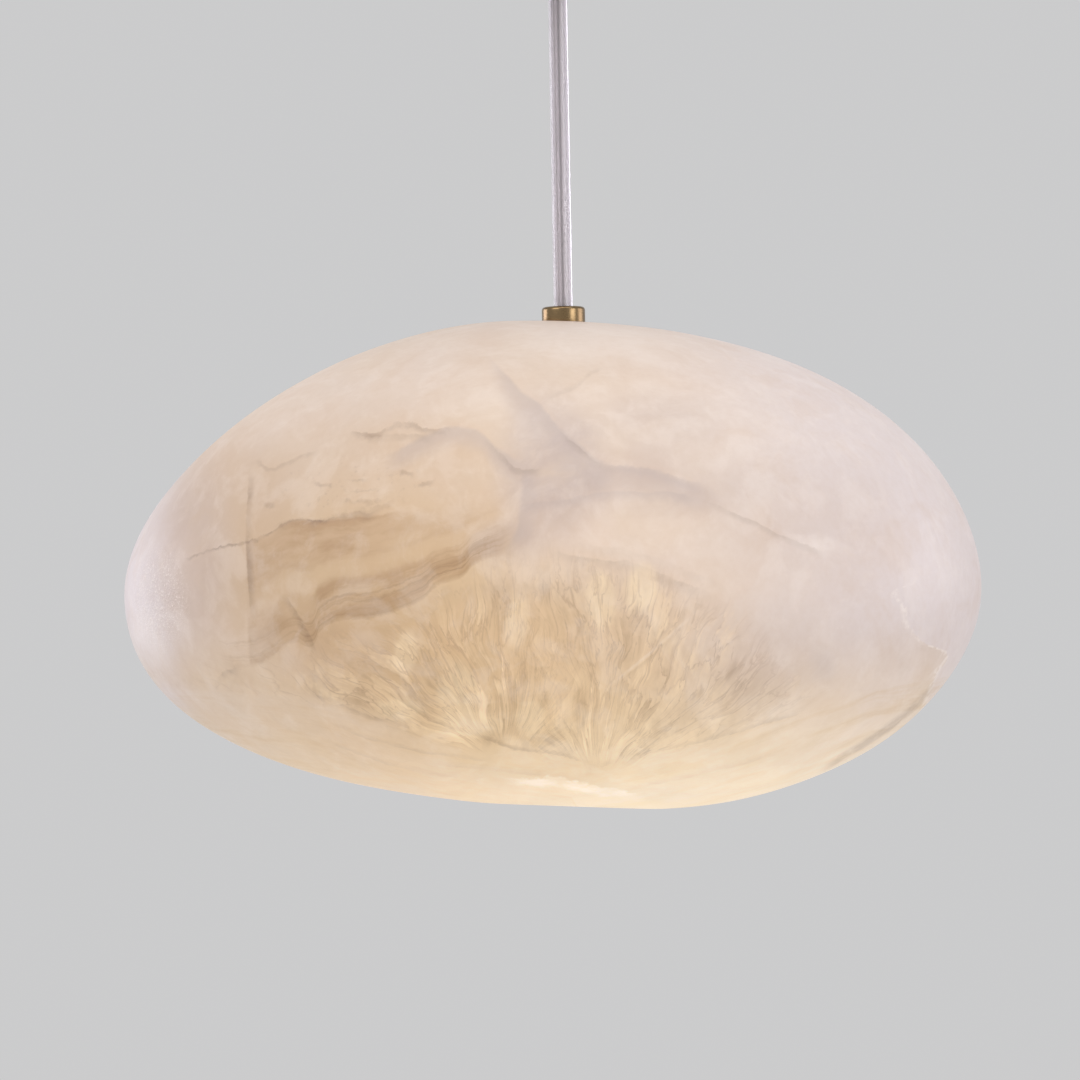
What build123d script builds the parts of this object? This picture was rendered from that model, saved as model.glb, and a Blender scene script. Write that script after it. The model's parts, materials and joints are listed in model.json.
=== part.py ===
from build123d import *

import math
import os

# Alabaster pendant light. Millimetres, +Z up. The origin is the middle of the ceiling plane,
# X runs along the shade's long side and -Y is the front.

# Driving dimensions of the stone shade
STONE_LEFT_REACH = 155.2
STONE_RIGHT_REACH = 143.8
STONE_HALF_DEPTH = 123.0
STONE_HEIGHT = 170.8
STONE_WALL = 12.0
CROWN_WALL = 15.0
BASE_WALL = 11.0
MOUTH_DIAMETER = 70.0
LIP_ROUND = 3.0

# Shape of the shade's front outline: where its poles stand beside the cord, how high its
# tips stand as a share of the height, and how full each quarter curve is
CROWN_POLE_X = -17.5
BASE_POLE_X = 28.0
LEFT_TIP_SHARE = 0.447
RIGHT_TIP_SHARE = 0.443
SIDE_TIP_SHARE = 0.459
LEFT_UPPER = (0.48, 0.44)
LEFT_LOWER = (0.25, 0.92)
RIGHT_UPPER = (0.80, 0.34)
RIGHT_LOWER = (0.56, 0.51)
SIDE_UPPER = (0.56, 0.56)
SIDE_LOWER = (0.66, 0.58)
SECTIONS = 13
END_ANGLE = 2.5

# Driving dimensions of the cord and its brass fittings
CORD_DIAMETER = 6.5
CORD_DROP = 111.0
CORE_DIAMETER = 2.0
WIRE_DIAMETER = 1.0
TUBE_WALL = 1.4
COLLAR_FLANGE = 2.6
COLLAR_HEIGHT = 5.7
COLLAR_ROUND = 1.2
GASKET_THICKNESS = 1.0
GLAND_LENGTH = 12.0
GLAND_WALL = 1.4
BELL_DEPTH = 4.0
SWING = 20.0
STOP_WALL = 1.55
STOP_LENGTH = 6.0

# Driving dimensions of the ceiling fitting
CANOPY_DIAMETER = 100.0
CANOPY_DEPTH = 24.0
CANOPY_WALL = 1.2
CANOPY_ROUND = 5.0
CANOPY_GAP = 0.4
STRIP_WIDTH = 22.0
STRIP_THICKNESS = 2.0
EAR_DEPTH = 12.0
SLOT_SPACING = 60.0
SLOT_LENGTH = 12.0
SLOT_WIDTH = 5.0
CABLE_HOLE = 12.0
SCREW_DIAMETER = 4.0
SMALL_SCREW_DIAMETER = 3.0
HEAD_HEIGHT = 2.4
SCREW_SLOT = 0.8

# Driving dimensions of the terminal block
BLOCK_WIDTH = 11.0
BLOCK_LENGTH = 19.0
BLOCK_HEIGHT = 11.0
POLE_SPACING = 10.0
SLEEVE_WALL = 1.1

# Driving dimensions of the lampholder and the bulb
PLATE_DIAMETER = 44.0
PLATE_THICKNESS = 2.0
COVER_DIAMETER = 28.0
COVER_LENGTH = 44.5
COVER_WALL = 1.0
STRAP_WIDTH = 8.0
STRAP_THICKNESS = 1.5
HOLDER_DIAMETER = 21.0
HOLDER_LENGTH = 26.0
PIN_PITCH = 9.0
PIN_LENGTH = 14.0
PIN_WIDTH = 2.8
PIN_WIRE = 0.8
BULB_DIAMETER = 16.0
BULB_LENGTH = 42.0
BULB_WALL = 1.0
BULB_BASE_LENGTH = 11.7
BULB_BASE_WIDTH = 14.0
BULB_BASE_DEPTH = 10.0

# Fits
LOOSE = 0.35
SLIDE = 0.2
TIGHT = 0.05
NUT_HEIGHT = 5.0
WASHER_HEIGHT = 1.2
WASHER_SLIT = 0.8

# Radii that follow from the cord
CORD_RADIUS = CORD_DIAMETER / 2
CORE_RADIUS = CORE_DIAMETER / 2
CORE_X = CORE_RADIUS + TIGHT
WIRE_RADIUS = WIRE_DIAMETER / 2
WIRE_Y = CORD_RADIUS * 0.55
GUIDE_RADIUS = CORD_RADIUS + SLIDE
TUBE_RADIUS = CORD_RADIUS + LOOSE + TUBE_WALL
TUBE_BORE = CORD_RADIUS + LOOSE
THREAD_HOLE = TUBE_RADIUS + TIGHT
CLEAR_HOLE = TUBE_RADIUS + SLIDE
NUT_FLATS = 2 * TUBE_RADIUS + 4
WASHER_RADIUS = TUBE_RADIUS + 2.6
STOP_RADIUS = CORD_RADIUS + STOP_WALL
COLLAR_RADIUS = TUBE_RADIUS + COLLAR_FLANGE
SCREW_RADIUS = SCREW_DIAMETER / 2
SMALL_SCREW_RADIUS = SMALL_SCREW_DIAMETER / 2

# The bell mouth of the gland, which the cord leans into when both swings are full
LEAN = math.acos(math.cos(math.radians(SWING)) ** 2)
BELL_RADIUS_AT_PIVOT = CORD_RADIUS / math.cos(LEAN) + LOOSE
BELL_FOOT_RADIUS = BELL_RADIUS_AT_PIVOT + BELL_DEPTH * math.tan(LEAN)
BELL_RISE = (BELL_RADIUS_AT_PIVOT - GUIDE_RADIUS) / math.tan(LEAN)
GLAND_RADIUS = BELL_FOOT_RADIUS + GLAND_WALL
BEAD_RADIUS = CORD_RADIUS * 0.68
BEAD_CUP_RADIUS = BEAD_RADIUS + LOOSE

# Heights from the ceiling down to the stone's crown
STRIP_FOOT_Z = -STRIP_THICKNESS
EAR_FOOT_Z = STRIP_FOOT_Z - EAR_DEPTH
EAR_HOLE_Z = STRIP_FOOT_Z - EAR_DEPTH * 0.6
CANOPY_RIM_Z = -CANOPY_GAP
CANOPY_FOOT_Z = CANOPY_RIM_Z - CANOPY_DEPTH
CANOPY_FLOOR_Z = CANOPY_FOOT_Z + CANOPY_WALL
GLAND_WASHER_TOP_Z = CANOPY_FLOOR_Z + WASHER_HEIGHT
GLAND_NUT_TOP_Z = GLAND_WASHER_TOP_Z + NUT_HEIGHT
SHANK_TOP_Z = GLAND_NUT_TOP_Z + 1
UPPER_STOP_TOP_Z = SHANK_TOP_Z + STOP_LENGTH
TAIL_TOP_Z = UPPER_STOP_TOP_Z + 0.5
GLAND_FOOT_Z = CANOPY_FOOT_Z - GLAND_LENGTH
PIVOT_Z = GLAND_FOOT_Z + BELL_DEPTH
TAIL_FOOT_Z = PIVOT_Z + BEAD_CUP_RADIUS
COLLAR_TOP_Z = GLAND_FOOT_Z - CORD_DROP
COLLAR_FOOT_Z = COLLAR_TOP_Z - COLLAR_HEIGHT
SEAT_Z = COLLAR_FOOT_Z - GASKET_THICKNESS
SEAT_SINK = 1.5
CROWN_Z = SEAT_Z + SEAT_SINK
CROWN_RISE = 0.36
STONE_TOP_Z = CROWN_Z + CROWN_RISE
STONE_BASE_Z = STONE_TOP_Z - STONE_HEIGHT

# Heights inside the shade, from its crown down
CEILING_Z = CROWN_Z - CROWN_WALL
PLATE_TOP_Z = CEILING_Z - 2 * GASKET_THICKNESS
PLATE_FOOT_Z = PLATE_TOP_Z - PLATE_THICKNESS
SPRING_FOOT_Z = PLATE_FOOT_Z - WASHER_HEIGHT
COVER_TOP_Z = SPRING_FOOT_Z - NUT_HEIGHT
COVER_FOOT_Z = COVER_TOP_Z - COVER_LENGTH
STRAP_TOP_Z = COVER_TOP_Z - COVER_WALL
STRAP_FOOT_Z = STRAP_TOP_Z - STRAP_THICKNESS
LOWER_NUT_FOOT_Z = STRAP_FOOT_Z - NUT_HEIGHT
TUBE_TOP_Z = COLLAR_FOOT_Z + COLLAR_HEIGHT * 0.65
TUBE_FOOT_Z = LOWER_NUT_FOOT_Z - 1
LOWER_STOP_TOP_Z = TUBE_FOOT_Z - SLIDE
LOWER_STOP_FOOT_Z = LOWER_STOP_TOP_Z - STOP_LENGTH
CORD_FOOT_Z = LOWER_STOP_FOOT_Z - 0.5
LEAD_HEIGHT = 7.2
HOLDER_TOP_Z = CORD_FOOT_Z - LOOSE - LEAD_HEIGHT
HOLDER_FOOT_Z = HOLDER_TOP_Z - HOLDER_LENGTH
BULB_TOP_Z = HOLDER_FOOT_Z - LOOSE
CAPSULE_TOP_Z = BULB_TOP_Z - BULB_BASE_LENGTH
CAPSULE_FOOT_Z = CAPSULE_TOP_Z - BULB_LENGTH

os.makedirs("parts", exist_ok=True)

# Ceiling bracket: a steel strip with two ears bent down, slots for the ceiling screws, a hole for
# the supply cable, an earthing hole and a hole for the terminal block
CANOPY_RADIUS = CANOPY_DIAMETER / 2
EAR_X = math.sqrt((CANOPY_RADIUS - CANOPY_WALL - SLIDE) ** 2 - (STRIP_WIDTH / 2) ** 2)
EAR_INNER_X = EAR_X - STRIP_THICKNESS
BLOCK_X = CABLE_HOLE / 2 + 3 + BLOCK_WIDTH / 2
BEND_ROUND = STRIP_THICKNESS * 0.9

with BuildPart() as ceiling_bracket:
    with BuildSketch(Plane.XZ):
        with BuildLine():
            Polyline(
                (-EAR_X, 0),
                (EAR_X, 0),
                (EAR_X, EAR_FOOT_Z),
                (EAR_INNER_X, EAR_FOOT_Z),
                (EAR_INNER_X, STRIP_FOOT_Z),
                (-EAR_INNER_X, STRIP_FOOT_Z),
                (-EAR_INNER_X, EAR_FOOT_Z),
                (-EAR_X, EAR_FOOT_Z),
                close=True,
            )
        make_face()
    extrude(amount=STRIP_WIDTH / 2, both=True)
    fillet(ceiling_bracket.edges().filter_by(Axis.Y).group_by(Axis.Z)[-1], BEND_ROUND)
    with BuildSketch(Plane.XY):
        with GridLocations(SLOT_SPACING, 1, 2, 1):
            SlotOverall(SLOT_LENGTH, SLOT_WIDTH)
        Circle(CABLE_HOLE / 2)
        with Locations((-BLOCK_X, 0)):
            Circle(SCREW_RADIUS + TIGHT)
        with Locations((BLOCK_X, 0)):
            Circle(SMALL_SCREW_RADIUS + TIGHT)
    extrude(amount=-STRIP_THICKNESS, mode=Mode.SUBTRACT)
    with BuildSketch(Plane.YZ):
        with Locations((0, EAR_HOLE_Z)):
            Circle(SCREW_RADIUS + TIGHT)
    extrude(amount=CANOPY_RADIUS, both=True, mode=Mode.SUBTRACT)
ceiling_bracket.part.label = "ceiling_bracket"
export_step(ceiling_bracket.part, "parts/ceiling_bracket.step")

# Earthing screw, under the strip beside the supply cable's hole
with BuildPart() as earth_screw:
    with BuildSketch(Plane.XY.offset(STRIP_FOOT_Z)):
        with Locations((-BLOCK_X, 0)):
            Circle(SCREW_RADIUS)
    extrude(amount=STRIP_THICKNESS - SLIDE)
    with BuildSketch(Plane.XY.offset(STRIP_FOOT_Z)):
        with Locations((-BLOCK_X, 0)):
            Circle(SCREW_DIAMETER)
    extrude(amount=-HEAD_HEIGHT)
    with BuildSketch(Plane.XY.offset(STRIP_FOOT_Z - HEAD_HEIGHT)):
        with Locations((-BLOCK_X, 0)):
            Rectangle(3 * SCREW_DIAMETER, SCREW_SLOT)
    extrude(amount=HEAD_HEIGHT / 2, mode=Mode.SUBTRACT)
earth_screw.part.label = "earth_screw"
export_step(earth_screw.part, "parts/earth_screw.step")

# Canopy: a spun cup with a rounded shoulder, held to the bracket's ears by two side screws
with BuildPart() as canopy_cup:
    with BuildSketch(Plane.XY.offset(CANOPY_FOOT_Z)):
        Circle(CANOPY_RADIUS)
    extrude(amount=CANOPY_DEPTH)
    fillet(canopy_cup.faces().sort_by(Axis.Z)[0].edges(), CANOPY_ROUND)
    offset(amount=-CANOPY_WALL, openings=canopy_cup.faces().sort_by(Axis.Z)[-1])
    with BuildSketch(Plane.XY.offset(CANOPY_FOOT_Z)):
        Circle(CLEAR_HOLE)
    extrude(amount=CANOPY_WALL, mode=Mode.SUBTRACT)
    with BuildSketch(Plane.YZ):
        with Locations((0, EAR_HOLE_Z)):
            Circle(SCREW_RADIUS + SLIDE)
    extrude(amount=CANOPY_RADIUS + 1, both=True, mode=Mode.SUBTRACT)
canopy_cup.part.label = "canopy_cup"
export_step(canopy_cup.part, "parts/canopy_cup.step")

with BuildPart() as canopy_screws:
    with BuildSketch(Plane.YZ.offset(EAR_INNER_X - HEAD_HEIGHT)):
        with Locations((0, EAR_HOLE_Z)):
            Circle(SCREW_RADIUS)
    extrude(amount=CANOPY_RADIUS - EAR_INNER_X + HEAD_HEIGHT)
    with BuildSketch(Plane.YZ.offset(CANOPY_RADIUS)):
        with Locations((0, EAR_HOLE_Z)):
            Circle(SCREW_DIAMETER)
    extrude(amount=HEAD_HEIGHT)
    fillet(canopy_screws.faces().sort_by(Axis.X)[-1].edges(), HEAD_HEIGHT / 3)
    with BuildSketch(Plane.YZ.offset(CANOPY_RADIUS + HEAD_HEIGHT)):
        with Locations((0, EAR_HOLE_Z)):
            Rectangle(3 * SCREW_DIAMETER, SCREW_SLOT)
    extrude(amount=-HEAD_HEIGHT / 2, mode=Mode.SUBTRACT)
    mirror(about=Plane.YZ)
canopy_screws.part.label = "canopy_screws"
export_step(canopy_screws.part, "parts/canopy_screws.step")

# Gland: a brass nozzle below the canopy, with a bell mouth that lets the cord lean
with BuildPart() as gland_body:
    with BuildSketch(Plane.XZ):
        with BuildLine():
            Polyline(
                (GUIDE_RADIUS, SHANK_TOP_Z),
                (TUBE_RADIUS, SHANK_TOP_Z),
                (TUBE_RADIUS, CANOPY_FOOT_Z),
                (GLAND_RADIUS, CANOPY_FOOT_Z),
                (GLAND_RADIUS, GLAND_FOOT_Z),
                (BELL_FOOT_RADIUS, GLAND_FOOT_Z),
                (GUIDE_RADIUS, PIVOT_Z + BELL_RISE),
                close=True,
            )
        make_face()
    revolve(axis=Axis.Z)
    fillet(gland_body.edges().filter_by(GeomType.CIRCLE).sort_by(SortBy.RADIUS)[-2:], GLAND_WALL / 2)
gland_body.part.label = "gland_body"
export_step(gland_body.part, "parts/gland_body.step")

with BuildPart() as gland_washer:
    with BuildSketch(Plane.XY.offset(CANOPY_FLOOR_Z)):
        Circle(WASHER_RADIUS)
        Circle(CLEAR_HOLE, mode=Mode.SUBTRACT)
        with Locations((WASHER_RADIUS, 0)):
            Rectangle(WASHER_RADIUS, WASHER_SLIT, mode=Mode.SUBTRACT)
    extrude(amount=WASHER_HEIGHT)
gland_washer.part.label = "gland_washer"
export_step(gland_washer.part, "parts/gland_washer.step")

with BuildPart() as gland_nut:
    with BuildSketch(Plane.XY.offset(GLAND_WASHER_TOP_Z)):
        RegularPolygon(NUT_FLATS / 2, 6, major_radius=False)
        Circle(THREAD_HOLE, mode=Mode.SUBTRACT)
    extrude(amount=NUT_HEIGHT)
gland_nut.part.label = "gland_nut"
export_step(gland_nut.part, "parts/gland_nut.step")

with BuildPart() as upper_cord_stop:
    with BuildSketch(Plane.XY.offset(SHANK_TOP_Z)):
        Circle(STOP_RADIUS)
        Circle(CORD_RADIUS, mode=Mode.SUBTRACT)
    extrude(amount=STOP_LENGTH)
    chamfer(upper_cord_stop.faces().sort_by(Axis.Z)[-1].outer_wire().edges(), STOP_WALL / 4)
upper_cord_stop.part.label = "upper_cord_stop"
export_step(upper_cord_stop.part, "parts/upper_cord_stop.step")

# Tail of the cord, held in the gland, with the suspension wire and the leads that leave it
with BuildPart() as cord_tail:
    with BuildSketch(Plane.XY.offset(TAIL_FOOT_Z)):
        Circle(CORD_RADIUS)
        with GridLocations(2 * CORE_X, 1, 2, 1):
            Circle(CORE_RADIUS, mode=Mode.SUBTRACT)
        with Locations((0, WIRE_Y)):
            Circle(WIRE_RADIUS, mode=Mode.SUBTRACT)
    extrude(amount=TAIL_TOP_Z - TAIL_FOOT_Z)
cord_tail.part.label = "cord_tail"
export_step(cord_tail.part, "parts/cord_tail.step")

with BuildPart() as tail_wire:
    with BuildSketch(Plane.XY.offset(TAIL_FOOT_Z)):
        with Locations((0, WIRE_Y)):
            Circle(WIRE_RADIUS)
    extrude(amount=TAIL_TOP_Z - TAIL_FOOT_Z)
tail_wire.part.label = "tail_wire"
export_step(tail_wire.part, "parts/tail_wire.step")

SLEEVE_Z = STRIP_FOOT_Z - BLOCK_HEIGHT * 0.55
POLE_Y = POLE_SPACING / 2
LEAD_BEND = 1.25 * CORE_DIAMETER
LEAD_TOP_Z = STRIP_FOOT_Z - CORE_DIAMETER

with BuildPart() as upper_leads:
    for side in (-1, 1):
        with BuildLine() as lead_path:
            FilletPolyline(
                (side * CORE_X, 0, TAIL_FOOT_Z),
                (side * CORE_X, 0, LEAD_TOP_Z),
                (side * CORE_X + 2 * CORE_DIAMETER, side * POLE_Y, LEAD_TOP_Z),
                (BLOCK_X - BLOCK_WIDTH * 0.8, side * POLE_Y, SLEEVE_Z),
                (BLOCK_X, side * POLE_Y, SLEEVE_Z),
                radius=LEAD_BEND,
            )
        with BuildSketch(Plane.XY.offset(TAIL_FOOT_Z)):
            with Locations((side * CORE_X, 0)):
                Circle(CORE_RADIUS)
        sweep(path=lead_path.wires()[0])
upper_leads.part.label = "upper_leads"
export_step(upper_leads.part, "parts/upper_leads.step")

# Terminal block: a plastic housing under the strip, two brass sleeves and their screws
SLEEVE_BORE = CORE_RADIUS + TIGHT
SLEEVE_RADIUS = SLEEVE_BORE + SLEEVE_WALL
SLEEVE_LENGTH = BLOCK_WIDTH * 0.85
CLAMP_RADIUS = SLEEVE_BORE * 0.8
CLAMP_SPACING = SLEEVE_LENGTH * 0.55
BLOCK_FOOT_Z = STRIP_FOOT_Z - BLOCK_HEIGHT

with BuildPart() as terminal_block:
    with BuildSketch(Plane.XY.offset(BLOCK_FOOT_Z)):
        with Locations((BLOCK_X, 0)):
            RectangleRounded(BLOCK_WIDTH, BLOCK_LENGTH, BLOCK_WIDTH / 8)
            Circle(SMALL_SCREW_RADIUS + SLIDE, mode=Mode.SUBTRACT)
            with GridLocations(CLAMP_SPACING, POLE_SPACING, 2, 2):
                Circle(CLAMP_RADIUS + SLIDE, mode=Mode.SUBTRACT)
    extrude(amount=SLEEVE_Z - BLOCK_FOOT_Z)
    with BuildSketch(Plane.XY.offset(SLEEVE_Z)):
        with Locations((BLOCK_X, 0)):
            RectangleRounded(BLOCK_WIDTH, BLOCK_LENGTH, BLOCK_WIDTH / 8)
            Circle(SMALL_SCREW_RADIUS + SLIDE, mode=Mode.SUBTRACT)
    extrude(amount=STRIP_FOOT_Z - SLEEVE_Z)
    with BuildSketch(Plane.YZ.offset(BLOCK_X)):
        with Locations((0, SLEEVE_Z)):
            with GridLocations(POLE_SPACING, 1, 2, 1):
                Circle(SLEEVE_RADIUS)
    extrude(amount=BLOCK_WIDTH, both=True, mode=Mode.SUBTRACT)
terminal_block.part.label = "terminal_block"
export_step(terminal_block.part, "parts/terminal_block.step")

with BuildPart() as terminal_sleeves:
    with BuildSketch(Plane.YZ.offset(BLOCK_X)):
        with Locations((0, SLEEVE_Z)):
            with GridLocations(POLE_SPACING, 1, 2, 1):
                Circle(SLEEVE_RADIUS)
                Circle(SLEEVE_BORE, mode=Mode.SUBTRACT)
    extrude(amount=SLEEVE_LENGTH / 2, both=True)
    with BuildSketch(Plane.XY.offset(SLEEVE_Z)):
        with Locations((BLOCK_X, 0)):
            with GridLocations(CLAMP_SPACING, POLE_SPACING, 2, 2):
                Circle(CLAMP_RADIUS)
    extrude(amount=-2 * SLEEVE_RADIUS, mode=Mode.SUBTRACT)
terminal_sleeves.part.label = "terminal_sleeves"
export_step(terminal_sleeves.part, "parts/terminal_sleeves.step")

with BuildPart() as terminal_screws:
    with BuildSketch(Plane.XY.offset(SLEEVE_Z - SLEEVE_BORE)):
        with Locations((BLOCK_X, 0)):
            with GridLocations(CLAMP_SPACING, POLE_SPACING, 2, 2):
                Circle(CLAMP_RADIUS)
    extrude(amount=BLOCK_FOOT_Z - SLEEVE_Z + SLEEVE_BORE + SCREW_SLOT)
    with BuildSketch(Plane.XY.offset(BLOCK_FOOT_Z + SCREW_SLOT)):
        with Locations((BLOCK_X, 0)):
            with GridLocations(CLAMP_SPACING, POLE_SPACING, 2, 2):
                Rectangle(3 * CLAMP_RADIUS, SCREW_SLOT / 2)
    extrude(amount=SCREW_SLOT, mode=Mode.SUBTRACT)
terminal_screws.part.label = "terminal_screws"
export_step(terminal_screws.part, "parts/terminal_screws.step")

with BuildPart() as block_screw:
    with BuildSketch(Plane.XY.offset(BLOCK_FOOT_Z)):
        with Locations((BLOCK_X, 0)):
            Circle(SMALL_SCREW_RADIUS)
    extrude(amount=BLOCK_HEIGHT + STRIP_THICKNESS - SLIDE)
    with BuildSketch(Plane.XY.offset(BLOCK_FOOT_Z)):
        with Locations((BLOCK_X, 0)):
            Circle(SMALL_SCREW_RADIUS * 1.7)
    extrude(amount=-HEAD_HEIGHT * 0.7)
    with BuildSketch(Plane.XY.offset(BLOCK_FOOT_Z - HEAD_HEIGHT * 0.7)):
        with Locations((BLOCK_X, 0)):
            Rectangle(3 * SMALL_SCREW_DIAMETER, SCREW_SLOT)
    extrude(amount=HEAD_HEIGHT * 0.35, mode=Mode.SUBTRACT)
block_screw.part.label = "block_screw"
export_step(block_screw.part, "parts/block_screw.step")

# Cord: where it flexes in the gland it is a bead, and below that a clear sheath over two cores
# and a steel suspension wire, taut down to the stop inside the shade
with BuildPart() as cord_bend:
    with Locations((0, 0, PIVOT_Z)):
        Sphere(BEAD_RADIUS)
cord_bend.part.label = "cord_bend"
export_step(cord_bend.part, "parts/cord_bend.step")

CORD_LENGTH = PIVOT_Z - CORD_FOOT_Z

with BuildPart() as cord_sheath:
    with BuildSketch(Plane.XY.offset(CORD_FOOT_Z)):
        Circle(CORD_RADIUS)
        with GridLocations(2 * CORE_X, 1, 2, 1):
            Circle(CORE_RADIUS, mode=Mode.SUBTRACT)
        with Locations((0, WIRE_Y)):
            Circle(WIRE_RADIUS, mode=Mode.SUBTRACT)
    extrude(amount=CORD_LENGTH)
    with Locations((0, 0, PIVOT_Z)):
        Sphere(BEAD_CUP_RADIUS, mode=Mode.SUBTRACT)
cord_sheath.part.label = "cord_sheath"
export_step(cord_sheath.part, "parts/cord_sheath.step")

with BuildPart() as cord_cores:
    with BuildSketch(Plane.XY.offset(CORD_FOOT_Z)):
        with GridLocations(2 * CORE_X, 1, 2, 1):
            Circle(CORE_RADIUS)
    extrude(amount=CORD_LENGTH)
    with Locations((0, 0, PIVOT_Z)):
        Sphere(BEAD_CUP_RADIUS, mode=Mode.SUBTRACT)
cord_cores.part.label = "cord_cores"
export_step(cord_cores.part, "parts/cord_cores.step")

with BuildPart() as cord_wire:
    with BuildSketch(Plane.XY.offset(CORD_FOOT_Z)):
        with Locations((0, WIRE_Y)):
            Circle(WIRE_RADIUS)
    extrude(amount=CORD_LENGTH)
    with Locations((0, 0, PIVOT_Z)):
        Sphere(BEAD_CUP_RADIUS, mode=Mode.SUBTRACT)
cord_wire.part.label = "cord_wire"
export_step(cord_wire.part, "parts/cord_wire.step")

with BuildPart() as lower_cord_stop:
    with BuildSketch(Plane.XY.offset(LOWER_STOP_FOOT_Z)):
        Circle(STOP_RADIUS)
        Circle(CORD_RADIUS, mode=Mode.SUBTRACT)
    extrude(amount=STOP_LENGTH)
    chamfer(lower_cord_stop.faces().sort_by(Axis.Z)[0].outer_wire().edges(), STOP_WALL / 4)
lower_cord_stop.part.label = "lower_cord_stop"
export_step(lower_cord_stop.part, "parts/lower_cord_stop.step")

# Collar on the stone's crown, its gasket and the threaded tube that everything clamps on
with BuildPart() as collar:
    with BuildSketch(Plane.XZ):
        with BuildLine():
            Polyline(
                (THREAD_HOLE, COLLAR_FOOT_Z),
                (COLLAR_RADIUS, COLLAR_FOOT_Z),
                (COLLAR_RADIUS, COLLAR_TOP_Z),
                (GUIDE_RADIUS, COLLAR_TOP_Z),
                (GUIDE_RADIUS, TUBE_TOP_Z + TIGHT),
                (THREAD_HOLE, TUBE_TOP_Z + TIGHT),
                close=True,
            )
        make_face()
    revolve(axis=Axis.Z)
    fillet(collar.faces().sort_by(Axis.Z)[-1].outer_wire().edges(), COLLAR_ROUND)
collar.part.label = "collar"
export_step(collar.part, "parts/collar.step")

with BuildPart() as collar_gasket:
    with BuildSketch(Plane.XY.offset(SEAT_Z)):
        Circle(COLLAR_RADIUS - SLIDE)
        Circle(CLEAR_HOLE, mode=Mode.SUBTRACT)
    extrude(amount=GASKET_THICKNESS)
collar_gasket.part.label = "collar_gasket"
export_step(collar_gasket.part, "parts/collar_gasket.step")

with BuildPart() as threaded_tube:
    with BuildSketch(Plane.XY.offset(TUBE_FOOT_Z)):
        Circle(TUBE_RADIUS)
        Circle(TUBE_BORE, mode=Mode.SUBTRACT)
    extrude(amount=TUBE_TOP_Z - TUBE_FOOT_Z)
threaded_tube.part.label = "threaded_tube"
export_step(threaded_tube.part, "parts/threaded_tube.step")


def quarter_reach(height_share, handles):
    """Share of the sideways reach at a share of the height of a cubic quarter curve."""
    pole_handle, tip_handle = handles
    low = 0.0
    high = 1.0
    for _ in range(40):
        t = (low + high) / 2
        height = (1 - t) ** 3 + 3 * (1 - t) ** 2 * t + 3 * (1 - t) * t**2 * tip_handle
        if height > height_share:
            low = t
        else:
            high = t
    return 3 * (1 - t) ** 2 * t * pole_handle + 3 * (1 - t) * t**2 + t**3


def side_reach(rise, tip_share, upper, lower):
    """Share of the reach that one side of the pebble has at a share of its height."""
    if rise >= tip_share:
        return quarter_reach((rise - tip_share) / (1 - tip_share), upper)
    return quarter_reach((tip_share - rise) / tip_share, lower)


def pebble_section(rise, inset):
    """Middle, left, right and depth radii of the pebble's level section at a share of its height."""
    middle = BASE_POLE_X + rise * (CROWN_POLE_X - BASE_POLE_X)
    left = side_reach(rise, LEFT_TIP_SHARE, LEFT_UPPER, LEFT_LOWER)
    right = side_reach(rise, RIGHT_TIP_SHARE, RIGHT_UPPER, RIGHT_LOWER)
    depth = side_reach(rise, SIDE_TIP_SHARE, SIDE_UPPER, SIDE_LOWER)
    left_pole = CROWN_POLE_X if rise >= LEFT_TIP_SHARE else BASE_POLE_X
    right_pole = CROWN_POLE_X if rise >= RIGHT_TIP_SHARE else BASE_POLE_X
    left_x = left_pole - left * (STONE_LEFT_REACH - inset + left_pole)
    right_x = right_pole + right * (STONE_RIGHT_REACH - inset - right_pole)
    return middle, middle - left_x, right_x - middle, depth * (STONE_HALF_DEPTH - inset)


def section_rises(top_angle):
    """Shares of the height at which the pebble is cut, close together towards the two poles."""
    step = (180 - END_ANGLE - top_angle) / (SECTIONS - 1)
    angles = [END_ANGLE + step * k for k in range(SECTIONS)]
    return [(1 - math.cos(math.radians(angle))) / 2 for angle in angles]


def on_lip(edge):
    """Whether an edge goes round the wall of the mouth."""
    middle = edge.position_at(0.5)
    on_wall = abs(math.hypot(middle.X, middle.Y) - MOUTH_DIAMETER / 2) < 1
    return on_wall and edge.length > BASE_WALL * 1.3


# Stone shade: a hollow pebble, lofted outside and inside through level sections. The hollow has
# a flat ceiling, which the clamping plate bears on, and stands a little to the left so that the
# shade hangs level. The mouth below has a rounded lip
HOLLOW_RISE = 2.5
HOLLOW_SHIFT = -1.0
HOLLOW_BASE_Z = STONE_BASE_Z + BASE_WALL
HOLLOW_HEIGHT = CEILING_Z + HOLLOW_RISE - HOLLOW_BASE_Z
HOLLOW_TOP_ANGLE = math.degrees(math.acos(1 - 2 * HOLLOW_RISE / HOLLOW_HEIGHT))

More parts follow.
